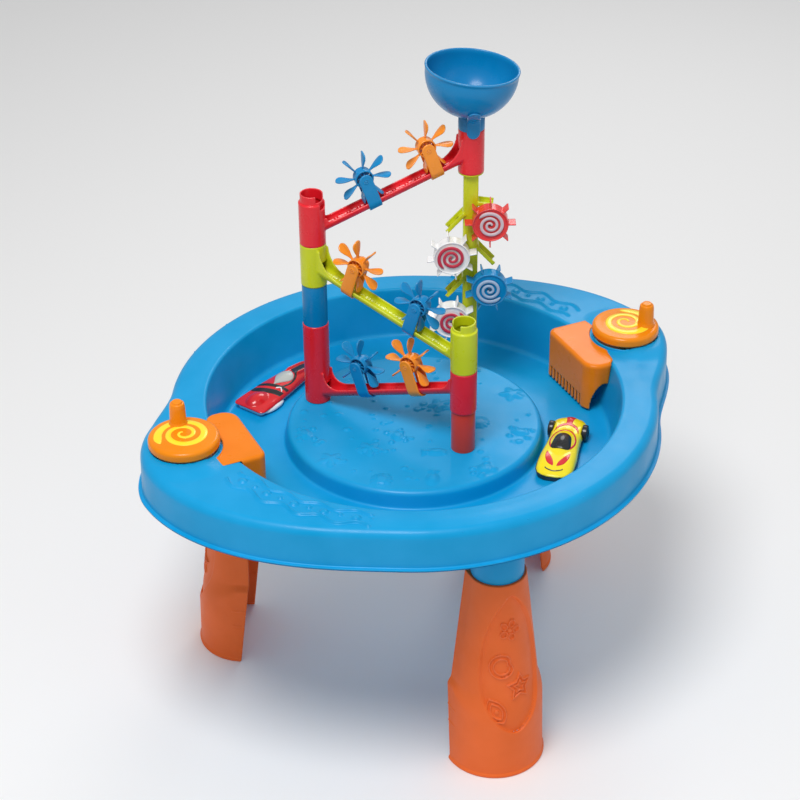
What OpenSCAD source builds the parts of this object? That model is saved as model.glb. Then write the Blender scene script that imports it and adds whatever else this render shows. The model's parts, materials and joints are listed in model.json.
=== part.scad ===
// Sand and water play table on three legs. A round tub holds a ring channel and a raised island.
// A marble-run style tower of tubes and troughs stands on the island and carries water wheels.
// Two hand cranks on the rim drive paddles that push the water and two toy cars round the channel.
// X runs along the tub's long axis through the cranks, Y across it, Z up. The origin is on the floor.

/* [Tub] */
// Height of the tub's rim above the floor
rim_z = 430; // [425:1:435]
// Radius of the plain part of the tub's bottom flange
plain_r = 334; // [330:1:340]
// How far each crank lobe stands out past the plain rim
lobe_rise = 62; // [58:1:64]
// Depth of the outer skirt below the rim
skirt_depth = 55; // [50:1:58]
// Inner radius of the basin at the rim
basin_r = 279; // [277:1:281]
// Height of the channel floor
floor_z = 358; // [357:1:359]
// Height of the island's top
island_z = 382; // [381:1:383]
// Radius of the island's top
island_r = 172; // [168:1:173]
// Thickness of the moulded walls
wall = 3; // [2.6:0.1:3.2]

/* [Legs] */
// Distance from the centre to each leg's axis
leg_circle_r = 248; // [244:1:250]
// Outer radius of a leg at its top
leg_top_r = 38; // [38:0.5:40]
// Outer radius of a leg at the floor
leg_foot_r = 66; // [62:1:68]
// Height of a leg's top
leg_top_z = 298; // [290:1:305]

/* [Tower] */
// Outer radius of the tower's tubes
tube_r = 17.5; // [17:0.1:18]
// Bore radius of the tower's tubes
tube_bore = 15.3; // [15.1:0.1:15.4]
// Height step between stacked tubes
tube_step = 60.5; // [60:0.5:61]
// Outer radius of the half-round troughs
trough_r = 11; // [10.8:0.1:11.2]
// Bottom of the tube under the funnel
back_tube_z = 695; // [693:1:697]
// Radius of the funnel's rim
funnel_r = 62.7; // [58:0.1:64]

/* [Wheels] */
// Height of a paddle wheel's axle above its trough
axle_h = 34; // [34:0.5:35]
// Tip radius of the six paddle wheels
petal_tip_r = 38; // [36:0.5:38]
// Tip radius of the four spiral wheels
blade_tip_r = 34; // [32:0.5:34]
// Height difference between neighbouring spiral wheels
spiral_pitch = 49.5; // [49:0.5:51]

/* [Cranks] */
// Distance from the centre to each crank's axis
crank_x = 327; // [327:1:327]
// Radius of a crank disc
disc_r = 46.4; // [45.5:0.1:46.8]
// Distance from a crank's axis to its knob
knob_offset = 28; // [24:1:30]
// Teeth on a crank gear
gear_teeth = 41; // [41:1:41]
// Teeth on an impeller's pinion
pinion_teeth = 20; // [20:1:20]
// Gear module, pitch diameter over teeth
gear_module = 2; // [2:0.1:2]

/* [Cars] */
// Length of each toy car
car_length = 138; // [134:1:140]
// Width of each toy car
car_width = 52; // [50:1:52]

/* [Hidden] */
$fn = 64;
eps = 0.01;
outline_n = 96;
lobe_start = -27;
lobe_peak = 4;
lobe_end = 62;
flange_t = 3;
flange_out = 5;
skirt_z = rim_z - skirt_depth;
wall_foot_r = basin_r - 11;
floor_out_r = wall_foot_r - 4;
floor_in_r = island_r + 4;
leg_angles = [-90, 30, 150];
socket_r = leg_top_r - wall - 0.3;
socket_z = leg_top_z - 40;
petal_turn = 19;
petal_w = 8;
side_deep = 18;
chute_rise = 27;
chute_slope = 48;
chute_length = 36;
ledge_slope = 8;
ledge_length = 22;
side_full_z = 130;
drain_at = [240 * cos(-125), 240 * sin(-125)];
drain_r = 9;
left_at = [-95, 109];
right_at = [29.5, -88.6];
back_at = [123, 80];
spigot_r = 15.2;
left_notch = -58;
spigot_h = 12;
base_tube_r = 16;
base_bore = 13.5;
left_low_z = island_z + 2 * tube_step;
right_low_z = island_z + tube_step;
trough_bore = trough_r - 2;
lip_up = 1;
clip_gap = 0.2;
clip_w = 18;
clip_t = 2.5;
ear_r = 9;
axle_r = 2;
axle_bore = 2.06;
view_turn = -24.8;
post_half = 10;
first_wheel_z = 629;
wheel_side = 25.5;
drum_r = 24.2;
drum_d = 19;
drum_back = 13;
wheel_pin_r = 2.5;
mesh_x = crank_x - gear_module * (gear_teeth + pinion_teeth) / 2;
pocket_r = 44.5;
pocket_z = 409;
base_plate_z = pocket_z + wall;
gear_z = 419;
gear_t = 6;
gear_backlash = 0.3;
crank_post_r = 5;
crank_bore = 5.05;
shaft_r = 4;
shaft_bore = 4.05;
platform_z = rim_z + 6;
disc_z = rim_z + 8;
disc_top = rim_z + 22;
knob_h = 31;
inlay_t = 1.2;
housing_in_x = 237;
housing_span = [-60, 62];
near_r = 25;
corner_r = 12;
slot_step = 9;
arch_r = 12;
arch_x = housing_in_x + 19;
housing_z = floor_z + 4;
housing_t = 2.5;
knob_angles = [-35, -96];
car_z = floor_z + 0.4;
car_axle_x = 42;
car_wheel_r = 11;
racer_at = [220, 124.5];
racer_turn = 28;
coupe_at = [204, -39.5];
coupe_turn = 49.5;

// Each trough: axis points of its upper and lower tube, and the trough's height at both
top_run = [back_at, left_at, 725, 646];
middle_run = [left_at, right_at, 595, 521];
low_run = [right_at, left_at, 479.5, 397];
// Each paddle wheel: its trough and its distance down the trough's slope
wheel_runs = [[top_run, 55], [top_run, 146], [middle_run, 64], [middle_run, 164], [low_run, 75],
    [low_run, 160]];
wheel_colors = ["orange", "dodgerblue", "orange", "dodgerblue", "orange", "dodgerblue"];

function polar(r, a) = [r * cos(a), r * sin(a)];
function smooth(t) = let (u = min(1, max(0, t))) u * u * (3 - 2 * u);
function lobe(a) = a < lobe_peak
    ? smooth((a - lobe_start) / (lobe_peak - lobe_start))
    : 1 - smooth((a - lobe_peak) / (lobe_end - lobe_peak));
function half_turn(a) = a - 180 * floor((a + 90) / 180);
function rim_r(a) = plain_r + lobe_rise * lobe(half_turn(a));
function outline(off) = [for (i = [0 : outline_n - 1]) let (a = i * 360 / outline_n)
    polar(rim_r(a) + off, a)];

// Spiral band between two edges, from radius r0 to r1 over a number of turns
function spiral_edge(r0, r1, turns, off, steps) =
    [for (i = [0 : steps]) polar(r0 + (r1 - r0) * i / steps + off, 360 * turns * i / steps)];
function reversed(list) = [for (i = [len(list) - 1 : -1 : 0]) list[i]];
module spiral_band(r0, r1, turns, half_w, steps) {
    polygon(concat(spiral_edge(r0, r1, turns, half_w, steps),
        reversed(spiral_edge(r0, r1, turns, -half_w, steps))));
}

// Involute spur gear outline with 20 degree pressure angle; phase is the direction of one tooth
function inv_deg(a) = tan(a) * 180 / PI - a;
function flank_half(r, n) = let (rp = gear_module * n / 2, rb = rp * cos(20), a = acos(min(1, rb / r)))
    90 / n - gear_backlash / rp * 90 / PI + inv_deg(20) - inv_deg(a);
function tooth(n, c) = let (rp = gear_module * n / 2, rb = rp * cos(20), root = rp - 1.25 * gear_module,
    tip = rp + 0.95 * gear_module, low = max(rb, root), radii = [low, (low + tip) / 2, tip])
    concat([polar(root, c - flank_half(low, n))],
        [for (r = radii) polar(r, c - flank_half(r, n))],
        [for (r = reversed(radii)) polar(r, c + flank_half(r, n))],
        [polar(root, c + flank_half(low, n))]);
function gear_outline(n, phase) = [for (i = [0 : n - 1]) each tooth(n, phase + i * 360 / n)];

module tube(r_out, r_in, h) {
    difference() {
        cylinder(r = r_out, h = h);
        translate([0, 0, -eps]) cylinder(r = r_in, h = h + 2 * eps);
    }
}

// Stub above a tube that the next tube slides over
module spigot(r_top) {
    tube(r_top, r_top - 1.8, spigot_h);
}

// ---------------------------------------------------------------- tub

module shell_profile() {
    polygon([[0, island_z - wall], [island_r - 1.5, island_z - wall], [floor_in_r - 1.5, floor_z - wall],
        [floor_out_r + 1.5, floor_z - wall], [wall_foot_r + wall, floor_z + 4],
            [basin_r + wall, rim_z - wall],
        [basin_r + wall, rim_z], [basin_r, rim_z], [wall_foot_r, floor_z + 5], [floor_out_r, floor_z],
        [floor_in_r, floor_z], [island_r + 1, island_z - 3], [island_r - 3, island_z], [0, island_z]]);
}

module basin_void() {
    rotate_extrude($fn = 128)
        polygon([[0, island_z], [island_r - 3, island_z], [island_r + 1, island_z - 3],
            [floor_in_r, floor_z],
            [floor_out_r, floor_z], [wall_foot_r, floor_z + 5], [basin_r, rim_z], [basin_r, rim_z + 9],
                [0, rim_z + 9]]);
}

module leg_socket(a) {
    translate([leg_circle_r * cos(a), leg_circle_r * sin(a), socket_z])
        tube(socket_r, socket_r - wall, floor_z + 8 - socket_z);
}

// Box that takes an impeller, under the rim beside the crank
module impeller_bay(grow) {
    translate([256, -25 - grow, floor_z - grow])
        cube([32 + grow, 50 + 2 * grow, rim_z - wall - floor_z + grow]);
}

module rim_shell() {
    difference() {
        translate([0, 0, skirt_z]) linear_extrude(skirt_depth) polygon(outline(-flange_out));
        translate([0, 0, skirt_z - eps]) linear_extrude(skirt_depth - wall)
            polygon(outline(-flange_out - wall));
        translate([0, 0, rim_z - 10]) cylinder(r = basin_r + 1, h = 20, $fn = 128);
    }
    difference() {
        translate([0, 0, skirt_z]) linear_extrude(flange_t) polygon(outline(0));
        translate([0, 0, skirt_z - eps]) linear_extrude(flange_t + 2 * eps)
            polygon(outline(-flange_out - wall / 2));
    }
}

module rim_rib(a) {
    rotate(a) translate([basin_r - 1, -wall / 2, rim_z - 30])
        cube([plain_r - flange_out - basin_r - 1, wall, 30 - 1]);
}

module crank_pocket() {
    translate([crank_x, 0, pocket_z]) cylinder(r = pocket_r + wall, h = platform_z - pocket_z);
    impeller_bay(wall);
}

module crank_pocket_void() {
    translate([crank_x, 0, base_plate_z]) cylinder(r = pocket_r, h = 40);
    impeller_bay(0);
    translate([256, -25, base_plate_z - eps]) cube([40, 50, rim_z - wall - base_plate_z]);
    for (y = [-25, 25]) translate([crank_x, y, pocket_z - eps]) cylinder(r = 1.8, h = wall + 2 * eps);
}

module tub() {
    color("deepskyblue") {
        difference() {
            union() {
                rim_shell();
                rotate_extrude($fn = 128) shell_profile();
                for (a = leg_angles) leg_socket(a);
                for (side = [0, 180], a = [75 : 20 : 135]) rotate(side) rim_rib(a);
                for (side = [0, 180]) rotate(side) crank_pocket();
                translate([drain_at.x, drain_at.y, floor_z - 8]) cylinder(r = drain_r + 7, h = 7);
            }
            basin_void();
            for (a = leg_angles) translate([leg_circle_r * cos(a), leg_circle_r * sin(a), socket_z - eps])
                cylinder(r = socket_r - wall, h = floor_z - wall - 2 - socket_z);
            for (side = [0, 180]) rotate(side) crank_pocket_void();
            translate([drain_at.x, drain_at.y, floor_z - 9]) cylinder(r = drain_r, h = 20);
            translate([drain_at.x, drain_at.y, floor_z - 2]) cylinder(r = drain_r + 4, h = 20);
        }
        translate([left_at.x, left_at.y, island_z - 1]) tube(spigot_r, spigot_r - 2, spigot_h);
        translate([right_at.x, right_at.y, island_z - 1]) tube(base_bore - 0.1, base_bore - 2.1, spigot_h);
        translate([back_at.x, back_at.y, island_z - 1]) rotate(view_turn)
            translate([-6, -6, 0]) cube([12, 12, spigot_h]);
    }
}

// ---------------------------------------------------------------- legs and drain plug

// Side of a leg from lip to top; over lengthens it at both ends
module leg_wall(inset, over) {
    polygon([[0, -over], [leg_foot_r + 2 - inset, -over], [leg_foot_r + 2 - inset, 3],
        [leg_foot_r - inset, 6],
        [leg_foot_r - 2.5 - inset, 98], [leg_foot_r - 9.5 - inset, 112], [leg_top_r - inset, leg_top_z],
        [leg_top_r - inset, leg_top_z + over], [0, leg_top_z + over]]);
}

// Straight side walls that carry the half shell inward, narrowing to nothing at the floor
module leg_sides() {
    difference() {
        rotate([90, 0, 0]) translate([0, 0, -side_deep]) linear_extrude(side_deep + 1) for (side = [0, 1])
            mirror([side, 0]) difference() {
                leg_wall(0, 0);
                leg_wall(wall, 1);
            }
        rotate([90, 0, 90]) translate([0, 0, -100])
            linear_extrude(200) polygon([[2, -1], [side_deep + 1, side_full_z], [side_deep + 1, -1]]);
        cylinder(r = socket_r + 0.1, h = leg_top_z + 1);
    }
}

// Half shell that faces away from the table's centre, with a full collar round the tub's socket
module leg(a) {
    collar_z = leg_top_z - 30;
    color("darkorange") rotate(a + 90) translate([0, -leg_circle_r, 0]) {
        difference() {
            rotate_extrude() leg_wall(0, 0);
            difference() {
                rotate_extrude() leg_wall(wall, 1);
                translate([0, 0, leg_top_z - wall]) tube(leg_top_r, socket_r + 0.1, 2 * wall);
            }
            rotate([90, 0, 90]) translate([0, 0, -100])
                linear_extrude(200) polygon([[2, -1], [120, -1], [120, collar_z], [2, collar_z]]);
        }
        leg_sides();
    }
}

module leg_front() { leg(leg_angles[0]); }
module leg_right() { leg(leg_angles[1]); }
module leg_left() { leg(leg_angles[2]); }

module drain_plug() {
    color("deepskyblue") translate([drain_at.x, drain_at.y, 0]) {
        translate([0, 0, floor_z - 1.9]) cylinder(r = drain_r + 3.7, h = 1.9);
        difference() {
            translate([0, 0, floor_z - 12]) cylinder(r = drain_r - 0.1, h = 11);
            translate([0, 0, floor_z - 13]) cylinder(r = drain_r - 2.5, h = 10);
        }
    }
}

// ---------------------------------------------------------------- pumps, drawn for the right side

module housing_plan(grow) {
    far_y = housing_span[1] - corner_r;
    near_y = housing_span[0] + near_r;
    difference() {
        intersection() {
            union() {
                translate([housing_in_x - grow, near_y]) square([2 * near_r + 2 * grow, far_y - near_y]);
                translate([housing_in_x + corner_r, 0]) square([60, housing_span[1] + grow]);
                translate([housing_in_x + corner_r, far_y]) circle(r = corner_r + grow);
                translate([housing_in_x + near_r, near_y]) circle(r = near_r + grow);
            }
            circle(r = basin_r + 26, $fn = 128);
        }
        translate([crank_x, 0]) circle(r = disc_r + 2.6);
    }
}

module channel_clear() {
    rotate_extrude($fn = 128)
        polygon([[0, floor_z], [wall_foot_r - 1, floor_z], [basin_r - 1, rim_z], [0, rim_z]]);
}

module pump_housing() {
    color("darkorange") difference() {
        union() {
            translate([0, 0, rim_z + 0.2]) linear_extrude(housing_t) housing_plan(0);
            intersection() {
                translate([0, 0, housing_z]) linear_extrude(rim_z + 0.3 - housing_z) difference() {
                    housing_plan(0);
                    difference() {
                        housing_plan(-housing_t);
                        translate([housing_in_x - 5, -90]) square([housing_t + 5, 180]);
                    }
                    translate([basin_r - 17, -30]) square([40, 60]);
                }
                union() {
                    channel_clear();
                    translate([0, 0, rim_z - eps]) cylinder(r = basin_r - 1, h = 1);
                }
            }
            translate([mesh_x, 0, rim_z - 2.5]) cylinder(r = 6, h = 3);
        }
        translate([mesh_x, 0, rim_z - 3]) cylinder(r = wheel_pin_r + 0.05, h = 3.2);
        for (y = [housing_span[0] + near_r : slot_step : housing_span[1] - corner_r - 4])
            translate([housing_in_x - 1, y, housing_z - 1]) cube([housing_t + 2, 4, 17]);
        translate([arch_x, housing_span[0] + 12, housing_z + arch_r]) rotate([90, 0, 0])
            cylinder(r = arch_r, h = 22);
        translate([arch_x - arch_r, housing_span[0] - 10, housing_z - 1]) cube([2 * arch_r, 22, arch_r + 1]);
    }
}

module drive_base() {
    color("white") {
        difference() {
            union() {
                translate([crank_x, 0, base_plate_z]) cylinder(r = pocket_r - 0.5, h = wall);
                translate([mesh_x - 12, -11, base_plate_z]) cube([crank_x - mesh_x + 12, 22, wall]);
                translate([mesh_x, 0, base_plate_z - 2]) cylinder(r = 8, h = wall + 2);
            }
            translate([mesh_x, 0, base_plate_z - 3]) cylinder(r = shaft_bore, h = 10);
            for (y = [-25, 25]) translate([crank_x, y, base_plate_z - 1]) cylinder(r = 1.5, h = 10);
        }
        translate([crank_x, 0, base_plate_z + 1])
            cylinder(r = crank_post_r, h = disc_z + 7.5 - base_plate_z);
    }
}

// Screws up through each pocket floor into the drive bases
module drive_screws() {
    color("silver") for (side = [0, 180], y = [-25, 25]) rotate(side) translate([crank_x, y, pocket_z - 2]) {
        cylinder(r = 3.2, h = 2);
        cylinder(r = 1.45, h = 2 + 2 * wall - 0.5);
    }
}

module crank_disc(turn) {
    color("orange") translate([crank_x, 0, 0]) {
        difference() {
            union() {
                translate([0, 0, disc_z]) cylinder(r = disc_r, h = 10);
                translate([0, 0, disc_z + 10 - eps]) cylinder(r1 = disc_r, r2 = disc_r - 4, h = 4 + eps);
            }
            translate([0, 0, disc_z - eps]) cylinder(r = disc_r - 3, h = 9);
            translate([0, 0, disc_top - inlay_t]) rotate(turn) linear_extrude(inlay_t + eps)
                inlay_plan(2.95);
        }
        translate([0, 0, disc_z - 2]) tube(9, crank_bore, 12);
    }
}

module crank_gear() {
    color("gold") translate([crank_x, 0, 0]) difference() {
        union() {
            translate([0, 0, gear_z]) linear_extrude(gear_t) polygon(gear_outline(gear_teeth, 180));
            translate([0, 0, gear_z]) cylinder(r = 9, h = disc_z - 2 - gear_z);
        }
        translate([0, 0, gear_z - 1]) cylinder(r = crank_bore, h = 40);
        for (i = [0 : 5]) rotate(60 * i) translate([24, 0, gear_z - 1]) cylinder(r = 8, h = 10);
    }
}

module inlay_plan(half_w) {
    spiral_band(4, 30, 2.3, half_w, 60);
}

module crank_spiral(turn) {
    color("yellow") translate([crank_x, 0, disc_top - inlay_t]) rotate(turn) linear_extrude(inlay_t)
        inlay_plan(2.9);
}

module crank_knob(turn) {
    color("darkorange") translate([crank_x, 0, 0]) rotate(turn) translate([knob_offset, 0, disc_top]) {
        cylinder(r1 = 12, r2 = 11, h = 3);
        translate([0, 0, 3 - eps]) cylinder(r1 = 11, r2 = 10, h = knob_h - 8);
        translate([0, 0, knob_h - 5 - 2 * eps]) cylinder(r1 = 10, r2 = 7, h = 3);
        translate([0, 0, knob_h - 2 - 3 * eps]) cylinder(r = 6.5, h = 1);
    }
}

module impeller() {
    color("firebrick") translate([mesh_x, 0, 0]) {
        translate([0, 0, floor_z + 4]) cylinder(r = shaft_r, h = gear_z - 1 - floor_z - 4);
        for (i = [0 : 5]) rotate(60 * i + 30) translate([0, -1, floor_z + 6]) cube([18.5, 2, 42]);
    }
}

module impeller_pinion() {
    color("gold") translate([mesh_x, 0, 0]) {
        translate([0, 0, gear_z - 1]) linear_extrude(gear_t + 2)
            polygon(gear_outline(pinion_teeth, 180 / pinion_teeth));
        translate([0, 0, gear_z + gear_t]) cylinder(r = wheel_pin_r, h = rim_z - 0.3 - gear_z - gear_t);
    }
}

// ---------------------------------------------------------------- tower

function run_length(run) = norm(run[1] - run[0]);
function run_turn(run) = atan2(run[1].y - run[0].y, run[1].x - run[0].x);
function run_slope(run) = atan2(run[2] - run[3], run_length(run));
function slope_length(run) = run_length(run) / cos(run_slope(run));

// Moves to a point down a trough: X downhill along it, Z square to it
module on_run(run, s) {
    translate([run[0].x, run[0].y, run[2]]) rotate(run_turn(run)) rotate([0, run_slope(run), 0])
        translate([s, 0, 0]) children();
}

module along_x(r, h) {
    rotate([0, 90, 0]) cylinder(r = r, h = h);
}

// Curved side plates where a trough meets its upright tube
function gusset(start, rise, slope) = concat(
    [for (i = [0 : 8]) let (x = start + rise * (1 - cos(i * 11.25)))
        [x, lip_up + rise * (1 - sin(i * 11.25)) - x * tan(slope)]],
    [[start + rise, -0.8 - (start + rise) * tan(slope)], [start - 1.3, -0.8 - (start - 1.3) * tan(slope)],
        [start - 1.3, lip_up + rise - start * tan(slope)]]);

module gussets(at, z, turn, rise, slope) {
    translate([at.x, at.y, z]) rotate(turn) for (y = [-trough_bore - 0.15, trough_r - 0.15])
        translate([0, y, 0]) rotate([90, 0, 0]) linear_extrude(trough_r - trough_bore - 0.3)
            polygon(gusset(tube_r - 3.5, rise, slope));
}

module trough_section() {
    difference() {
        circle(r = trough_r);
        translate([-2 * trough_r, lip_up]) square([4 * trough_r, 2 * trough_r]);
    }
}

module channel_section() {
    circle(r = trough_bore);
    translate([-trough_bore, 0]) square([2 * trough_bore, trough_bore]);
}

module trough(run, high_z, high_h, low_z, low_h, rise_high, rise_low) {
    difference() {
        union() {
            translate([run[0].x, run[0].y, high_z]) cylinder(r = tube_r, h = high_h);
            translate([run[1].x, run[1].y, low_z]) cylinder(r = tube_r, h = low_h);
            on_run(run, 0) rotate([90, 0, 90]) linear_extrude(slope_length(run)) trough_section();
            gussets(run[0], run[2], run_turn(run), rise_high, run_slope(run));
            gussets(run[1], run[3], run_turn(run) + 180, rise_low, -run_slope(run));
        }
        on_run(run, 0) rotate([90, 0, 90]) linear_extrude(slope_length(run)) channel_section();
        translate([run[0].x, run[0].y, high_z - 1]) cylinder(r = tube_bore, h = high_h + 2);
        translate([run[1].x, run[1].y, low_z - 1]) cylinder(r = tube_bore, h = low_h + 2);
    }
}

// Shoulder and spigot on top of a tube
module tube_top(at, z, r_top) {
    translate([at.x, at.y, z - 3]) tube(tube_r - 0.5, r_top - 1.8, 3);
    translate([at.x, at.y, z - eps]) spigot(r_top);
}

module low_trough() {
    color("crimson") {
        trough(low_run, right_low_z, tube_step, island_z, left_low_z - island_z, 12, 26);
        tube_top(right_at, right_low_z + tube_step, spigot_r);
        tube_top(left_at, left_low_z, spigot_r);
    }
}

module middle_trough() {
    color("yellowgreen") {
        trough(middle_run, left_low_z + tube_step, tube_step, right_low_z + tube_step, tube_step, 26, 8);
        tube_top(right_at, right_low_z + 2 * tube_step, spigot_r);
        tube_top(left_at, left_low_z + 2 * tube_step, spigot_r);
    }
}

module top_trough() {
    color("crimson") {
        trough(top_run, back_tube_z, tube_step + 1, left_low_z + 2 * tube_step, tube_step, 24, 8);
        difference() {
            tube_top(left_at, left_low_z + 3 * tube_step, spigot_r);
            translate([left_at.x, left_at.y, left_low_z + 3 * tube_step + 3]) rotate(left_notch)
                translate([5, -8.3, 0]) cube([20, 16.6, 20]);
        }
    }
}

module spacer_tube() {
    color("royalblue") translate([left_at.x, left_at.y, left_low_z])
        tube(tube_r - 0.7, tube_bore, tube_step);
    color("royalblue") tube_top(left_at, left_low_z + tube_step, spigot_r);
}

module base_tube() {
    color("orangered") translate([right_at.x, right_at.y, island_z]) {
        tube(base_tube_r, base_bore, tube_step);
        translate([0, 0, tube_step - 3]) tube(base_tube_r - 0.5, base_bore - 0.2, 3);
        translate([0, 0, tube_step - eps]) tube(spigot_r, base_bore - 0.2, spigot_h);
    }
}

module post_ring() {
    color("yellowgreen") translate([back_at.x, back_at.y, back_tube_z - 2]) tube(tube_r - 0.4, 8, 2);
}

// Moves to the post's axis, with +Y pointing away from the side that the wheels face
module on_post(z) {
    translate([back_at.x, back_at.y, z]) rotate(view_turn) children();
}

function spiral_z(i) = first_wheel_z - i * spiral_pitch;
function spiral_x(i) = i % 2 == 0 ? wheel_side : -wheel_side;

// Sloping chute that drops water on the wheel below it
module chute(side, slope, length) {
    mirror([side < 0 ? 1 : 0, 0, 0]) rotate([0, slope, 0]) translate([post_half, -12, 0]) difference() {
        translate([-1, 0, 0]) cube([length, 20, 6]);
        translate([1, 1.5, 1.5]) cube([length + 3, 17, 6]);
    }
}

module wheel_post() {
    color("yellowgreen") difference() {
        union() {
            on_post(island_z) translate([-post_half, -post_half, 0])
                cube([2 * post_half, 2 * post_half, back_tube_z - 2 - island_z]);
            on_post(back_tube_z - 2 - eps) cylinder(r = 7.8, h = 14);
            for (i = [0 : 3]) on_post(spiral_z(i)) {
                translate([min(0, spiral_x(i)), -post_half, -6]) cube([wheel_side, 6, 12]);
                translate([spiral_x(i), -post_half + 6, 0]) rotate([90, 0, 0]) cylinder(r = 6, h = 6);
            }
            for (i = [1 : 3]) on_post(spiral_z(i) + blade_tip_r + chute_rise)
                chute(i % 2 == 0 ? 1 : -1, chute_slope, chute_length);
            on_post(spiral_z(0) + 20) chute(1, ledge_slope, ledge_length);
        }
        on_post(island_z - 1) translate([-6.1, -6.1, 0]) cube([12.2, 12.2, spigot_h + 2]);
        for (i = [0 : 3]) on_post(spiral_z(i)) translate([spiral_x(i), 0, 0]) rotate([90, 0, 0])
            cylinder(r = wheel_pin_r - 0.05, h = 20);
        on_post(island_z + 20) translate([-4, 4, 0]) cube([8, 10, back_tube_z - island_z - 40]);
    }
}

module funnel() {
    bowl_r = funnel_r - 0.7;
    bowl_z = back_tube_z + 2 * tube_step + 20;
    rim_up = 7;
    collar_z = back_tube_z + tube_step + 1;
    color("royalblue") difference() {
        union() {
            translate([back_at.x, back_at.y, bowl_z]) rotate(view_turn) rotate([0, 5.5, 0]) {
                difference() {
                    union() {
                        sphere(r = bowl_r, $fn = 96);
                        cylinder(r = bowl_r, h = rim_up);
                        translate([0, 0, rim_up - 2.5]) cylinder(r = funnel_r, h = 2.5);
                    }
                    sphere(r = bowl_r - 2.4, $fn = 96);
                    cylinder(r = bowl_r - 2.4, h = bowl_r);
                    translate([0, 0, rim_up]) cylinder(r = 2 * bowl_r, h = bowl_r);
                }
            }
            translate([back_at.x, back_at.y, collar_z]) cylinder(r = tube_r, h = 24);
            translate([back_at.x, back_at.y, collar_z - spigot_h]) cylinder(r = spigot_r, h = spigot_h + 1);
            on_post(collar_z + 1) translate([3, -tube_r + 4, 0]) cylinder(r = 9, h = 26);
        }
        translate([back_at.x, back_at.y, collar_z - spigot_h - 1])
            cylinder(r = spigot_r - 2, h = spigot_h + 38);
        translate([back_at.x, back_at.y, bowl_z]) rotate(view_turn) rotate([0, 5.5, 0])
            sphere(r = bowl_r - 2.4, $fn = 96);
    }
}

// ---------------------------------------------------------------- paddle wheels on their clips

module ear() {
    rotate([90, 0, 0]) linear_extrude(clip_t) {
        circle(r = ear_r);
        translate([-clip_w / 2, -axle_h - 1]) square([clip_w, axle_h + 1]);
    }
}

module wheel_clip(i) {
    inner = trough_r + clip_gap;
    color(wheel_colors[i]) on_run(wheel_runs[i][0], wheel_runs[i][1]) difference() {
        union() {
            difference() {
                translate([-clip_w / 2, 0, 0]) along_x(inner + clip_t, clip_w);
                translate([-clip_w, -20, 0]) cube([2 * clip_w, 40, 20]);
            }
            translate([0, -inner, axle_h]) ear();
            translate([0, inner + clip_t, axle_h]) ear();
        }
        translate([-clip_w, 0, 0]) along_x(inner, 2 * clip_w);
        translate([0, 20, axle_h]) rotate([90, 0, 0]) cylinder(r = axle_bore, h = 40);
    }
}

// Flat oval paddle standing out along Z
module petal() {
    translate([-1, 0, 0]) rotate([90, 0, 90]) linear_extrude(2) {
        translate([0, petal_tip_r - petal_w]) circle(r = petal_w);
        translate([0, 21]) circle(r = 7);
        translate([-7, 21]) square([14, petal_tip_r - 30]);
        translate([-3, 10]) square([6, 8]);
    }
}

module paddle_wheel(i) {
    reach = trough_r + clip_gap + clip_t + 0.6;
    color(wheel_colors[i]) on_run(wheel_runs[i][0], wheel_runs[i][1]) translate([0, 0, axle_h]) {
        rotate([90, 0, 0]) difference() {
            translate([0, 0, -7]) cylinder(r = 12, h = 14);
            for (z = [-8, 2]) translate([0, 0, z]) tube(10, 4.5, 6);
        }
        rotate([90, 0, 0]) translate([0, 0, -10.8]) cylinder(r = 4, h = 21.6);
        rotate([90, 0, 0]) translate([0, 0, -reach]) cylinder(r = axle_r, h = 2 * reach);
        for (k = [0 : 7]) rotate([0, 45 * k + petal_turn, 0]) petal();
    }
}

// ---------------------------------------------------------------- spiral wheels on the post

module spiral_wheel(i, tint) {
    color(tint) on_post(spiral_z(i)) translate([spiral_x(i), 0, 0]) rotate([90, 0, 0]) difference() {
        union() {
            translate([0, 0, drum_back]) cylinder(r = drum_r, h = drum_d);
            for (k = [0 : 7]) rotate(45 * k + 10 * i) translate([drum_r - 3, -1, drum_back + 0.5])
                cube([blade_tip_r - drum_r + 3, 2, drum_d - 1]);
        }
        translate([0, 0, drum_back - 1]) cylinder(r = wheel_pin_r + 0.05, h = drum_d - 3);
        translate([0, 0, drum_back - 1]) tube(drum_r - 2, 6, drum_d - 3);
    }
}

module spiral_inlay(i, tint) {
    color(tint) on_post(spiral_z(i)) translate([spiral_x(i), 0, 0]) rotate([90, 0, 0])
        translate([0, 0, drum_back + drum_d]) rotate(90 * i) linear_extrude(0.8)
            spiral_band(2, 18.5, 2.4, 2, 60);
}

module wheel_pins() {
    color("silver") for (i = [0 : 3]) on_post(spiral_z(i)) translate([spiral_x(i), 5, 0]) rotate([90, 0, 0])
        cylinder(r = wheel_pin_r - 0.1, h = drum_back + 5 + drum_d - 6);
    color("silver") for (i = [0 : 3]) on_post(spiral_z(i)) translate([spiral_x(i), 0, 0]) rotate([90, 0, 0])
        translate([0, 0, drum_back - 2]) cylinder(r = wheel_pin_r, h = drum_d - 3);
}

// ---------------------------------------------------------------- toy cars, nose along -X

module place_car(at, turn) {
    translate([at[0] * cos(at[1]), at[0] * sin(at[1]), car_z]) rotate(turn) children();
}

module racer_hull() {
    color("white") place_car(racer_at, racer_turn) hull() {
        translate([-car_length / 2 + 6, -car_width / 2 + 5, 0]) cube([car_length - 20, car_width - 10, 5]);
        translate([-car_length / 2 + 2, -car_width / 2 + 2, 4]) cube([car_length - 10, car_width - 4, 2]);
    }
}

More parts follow.
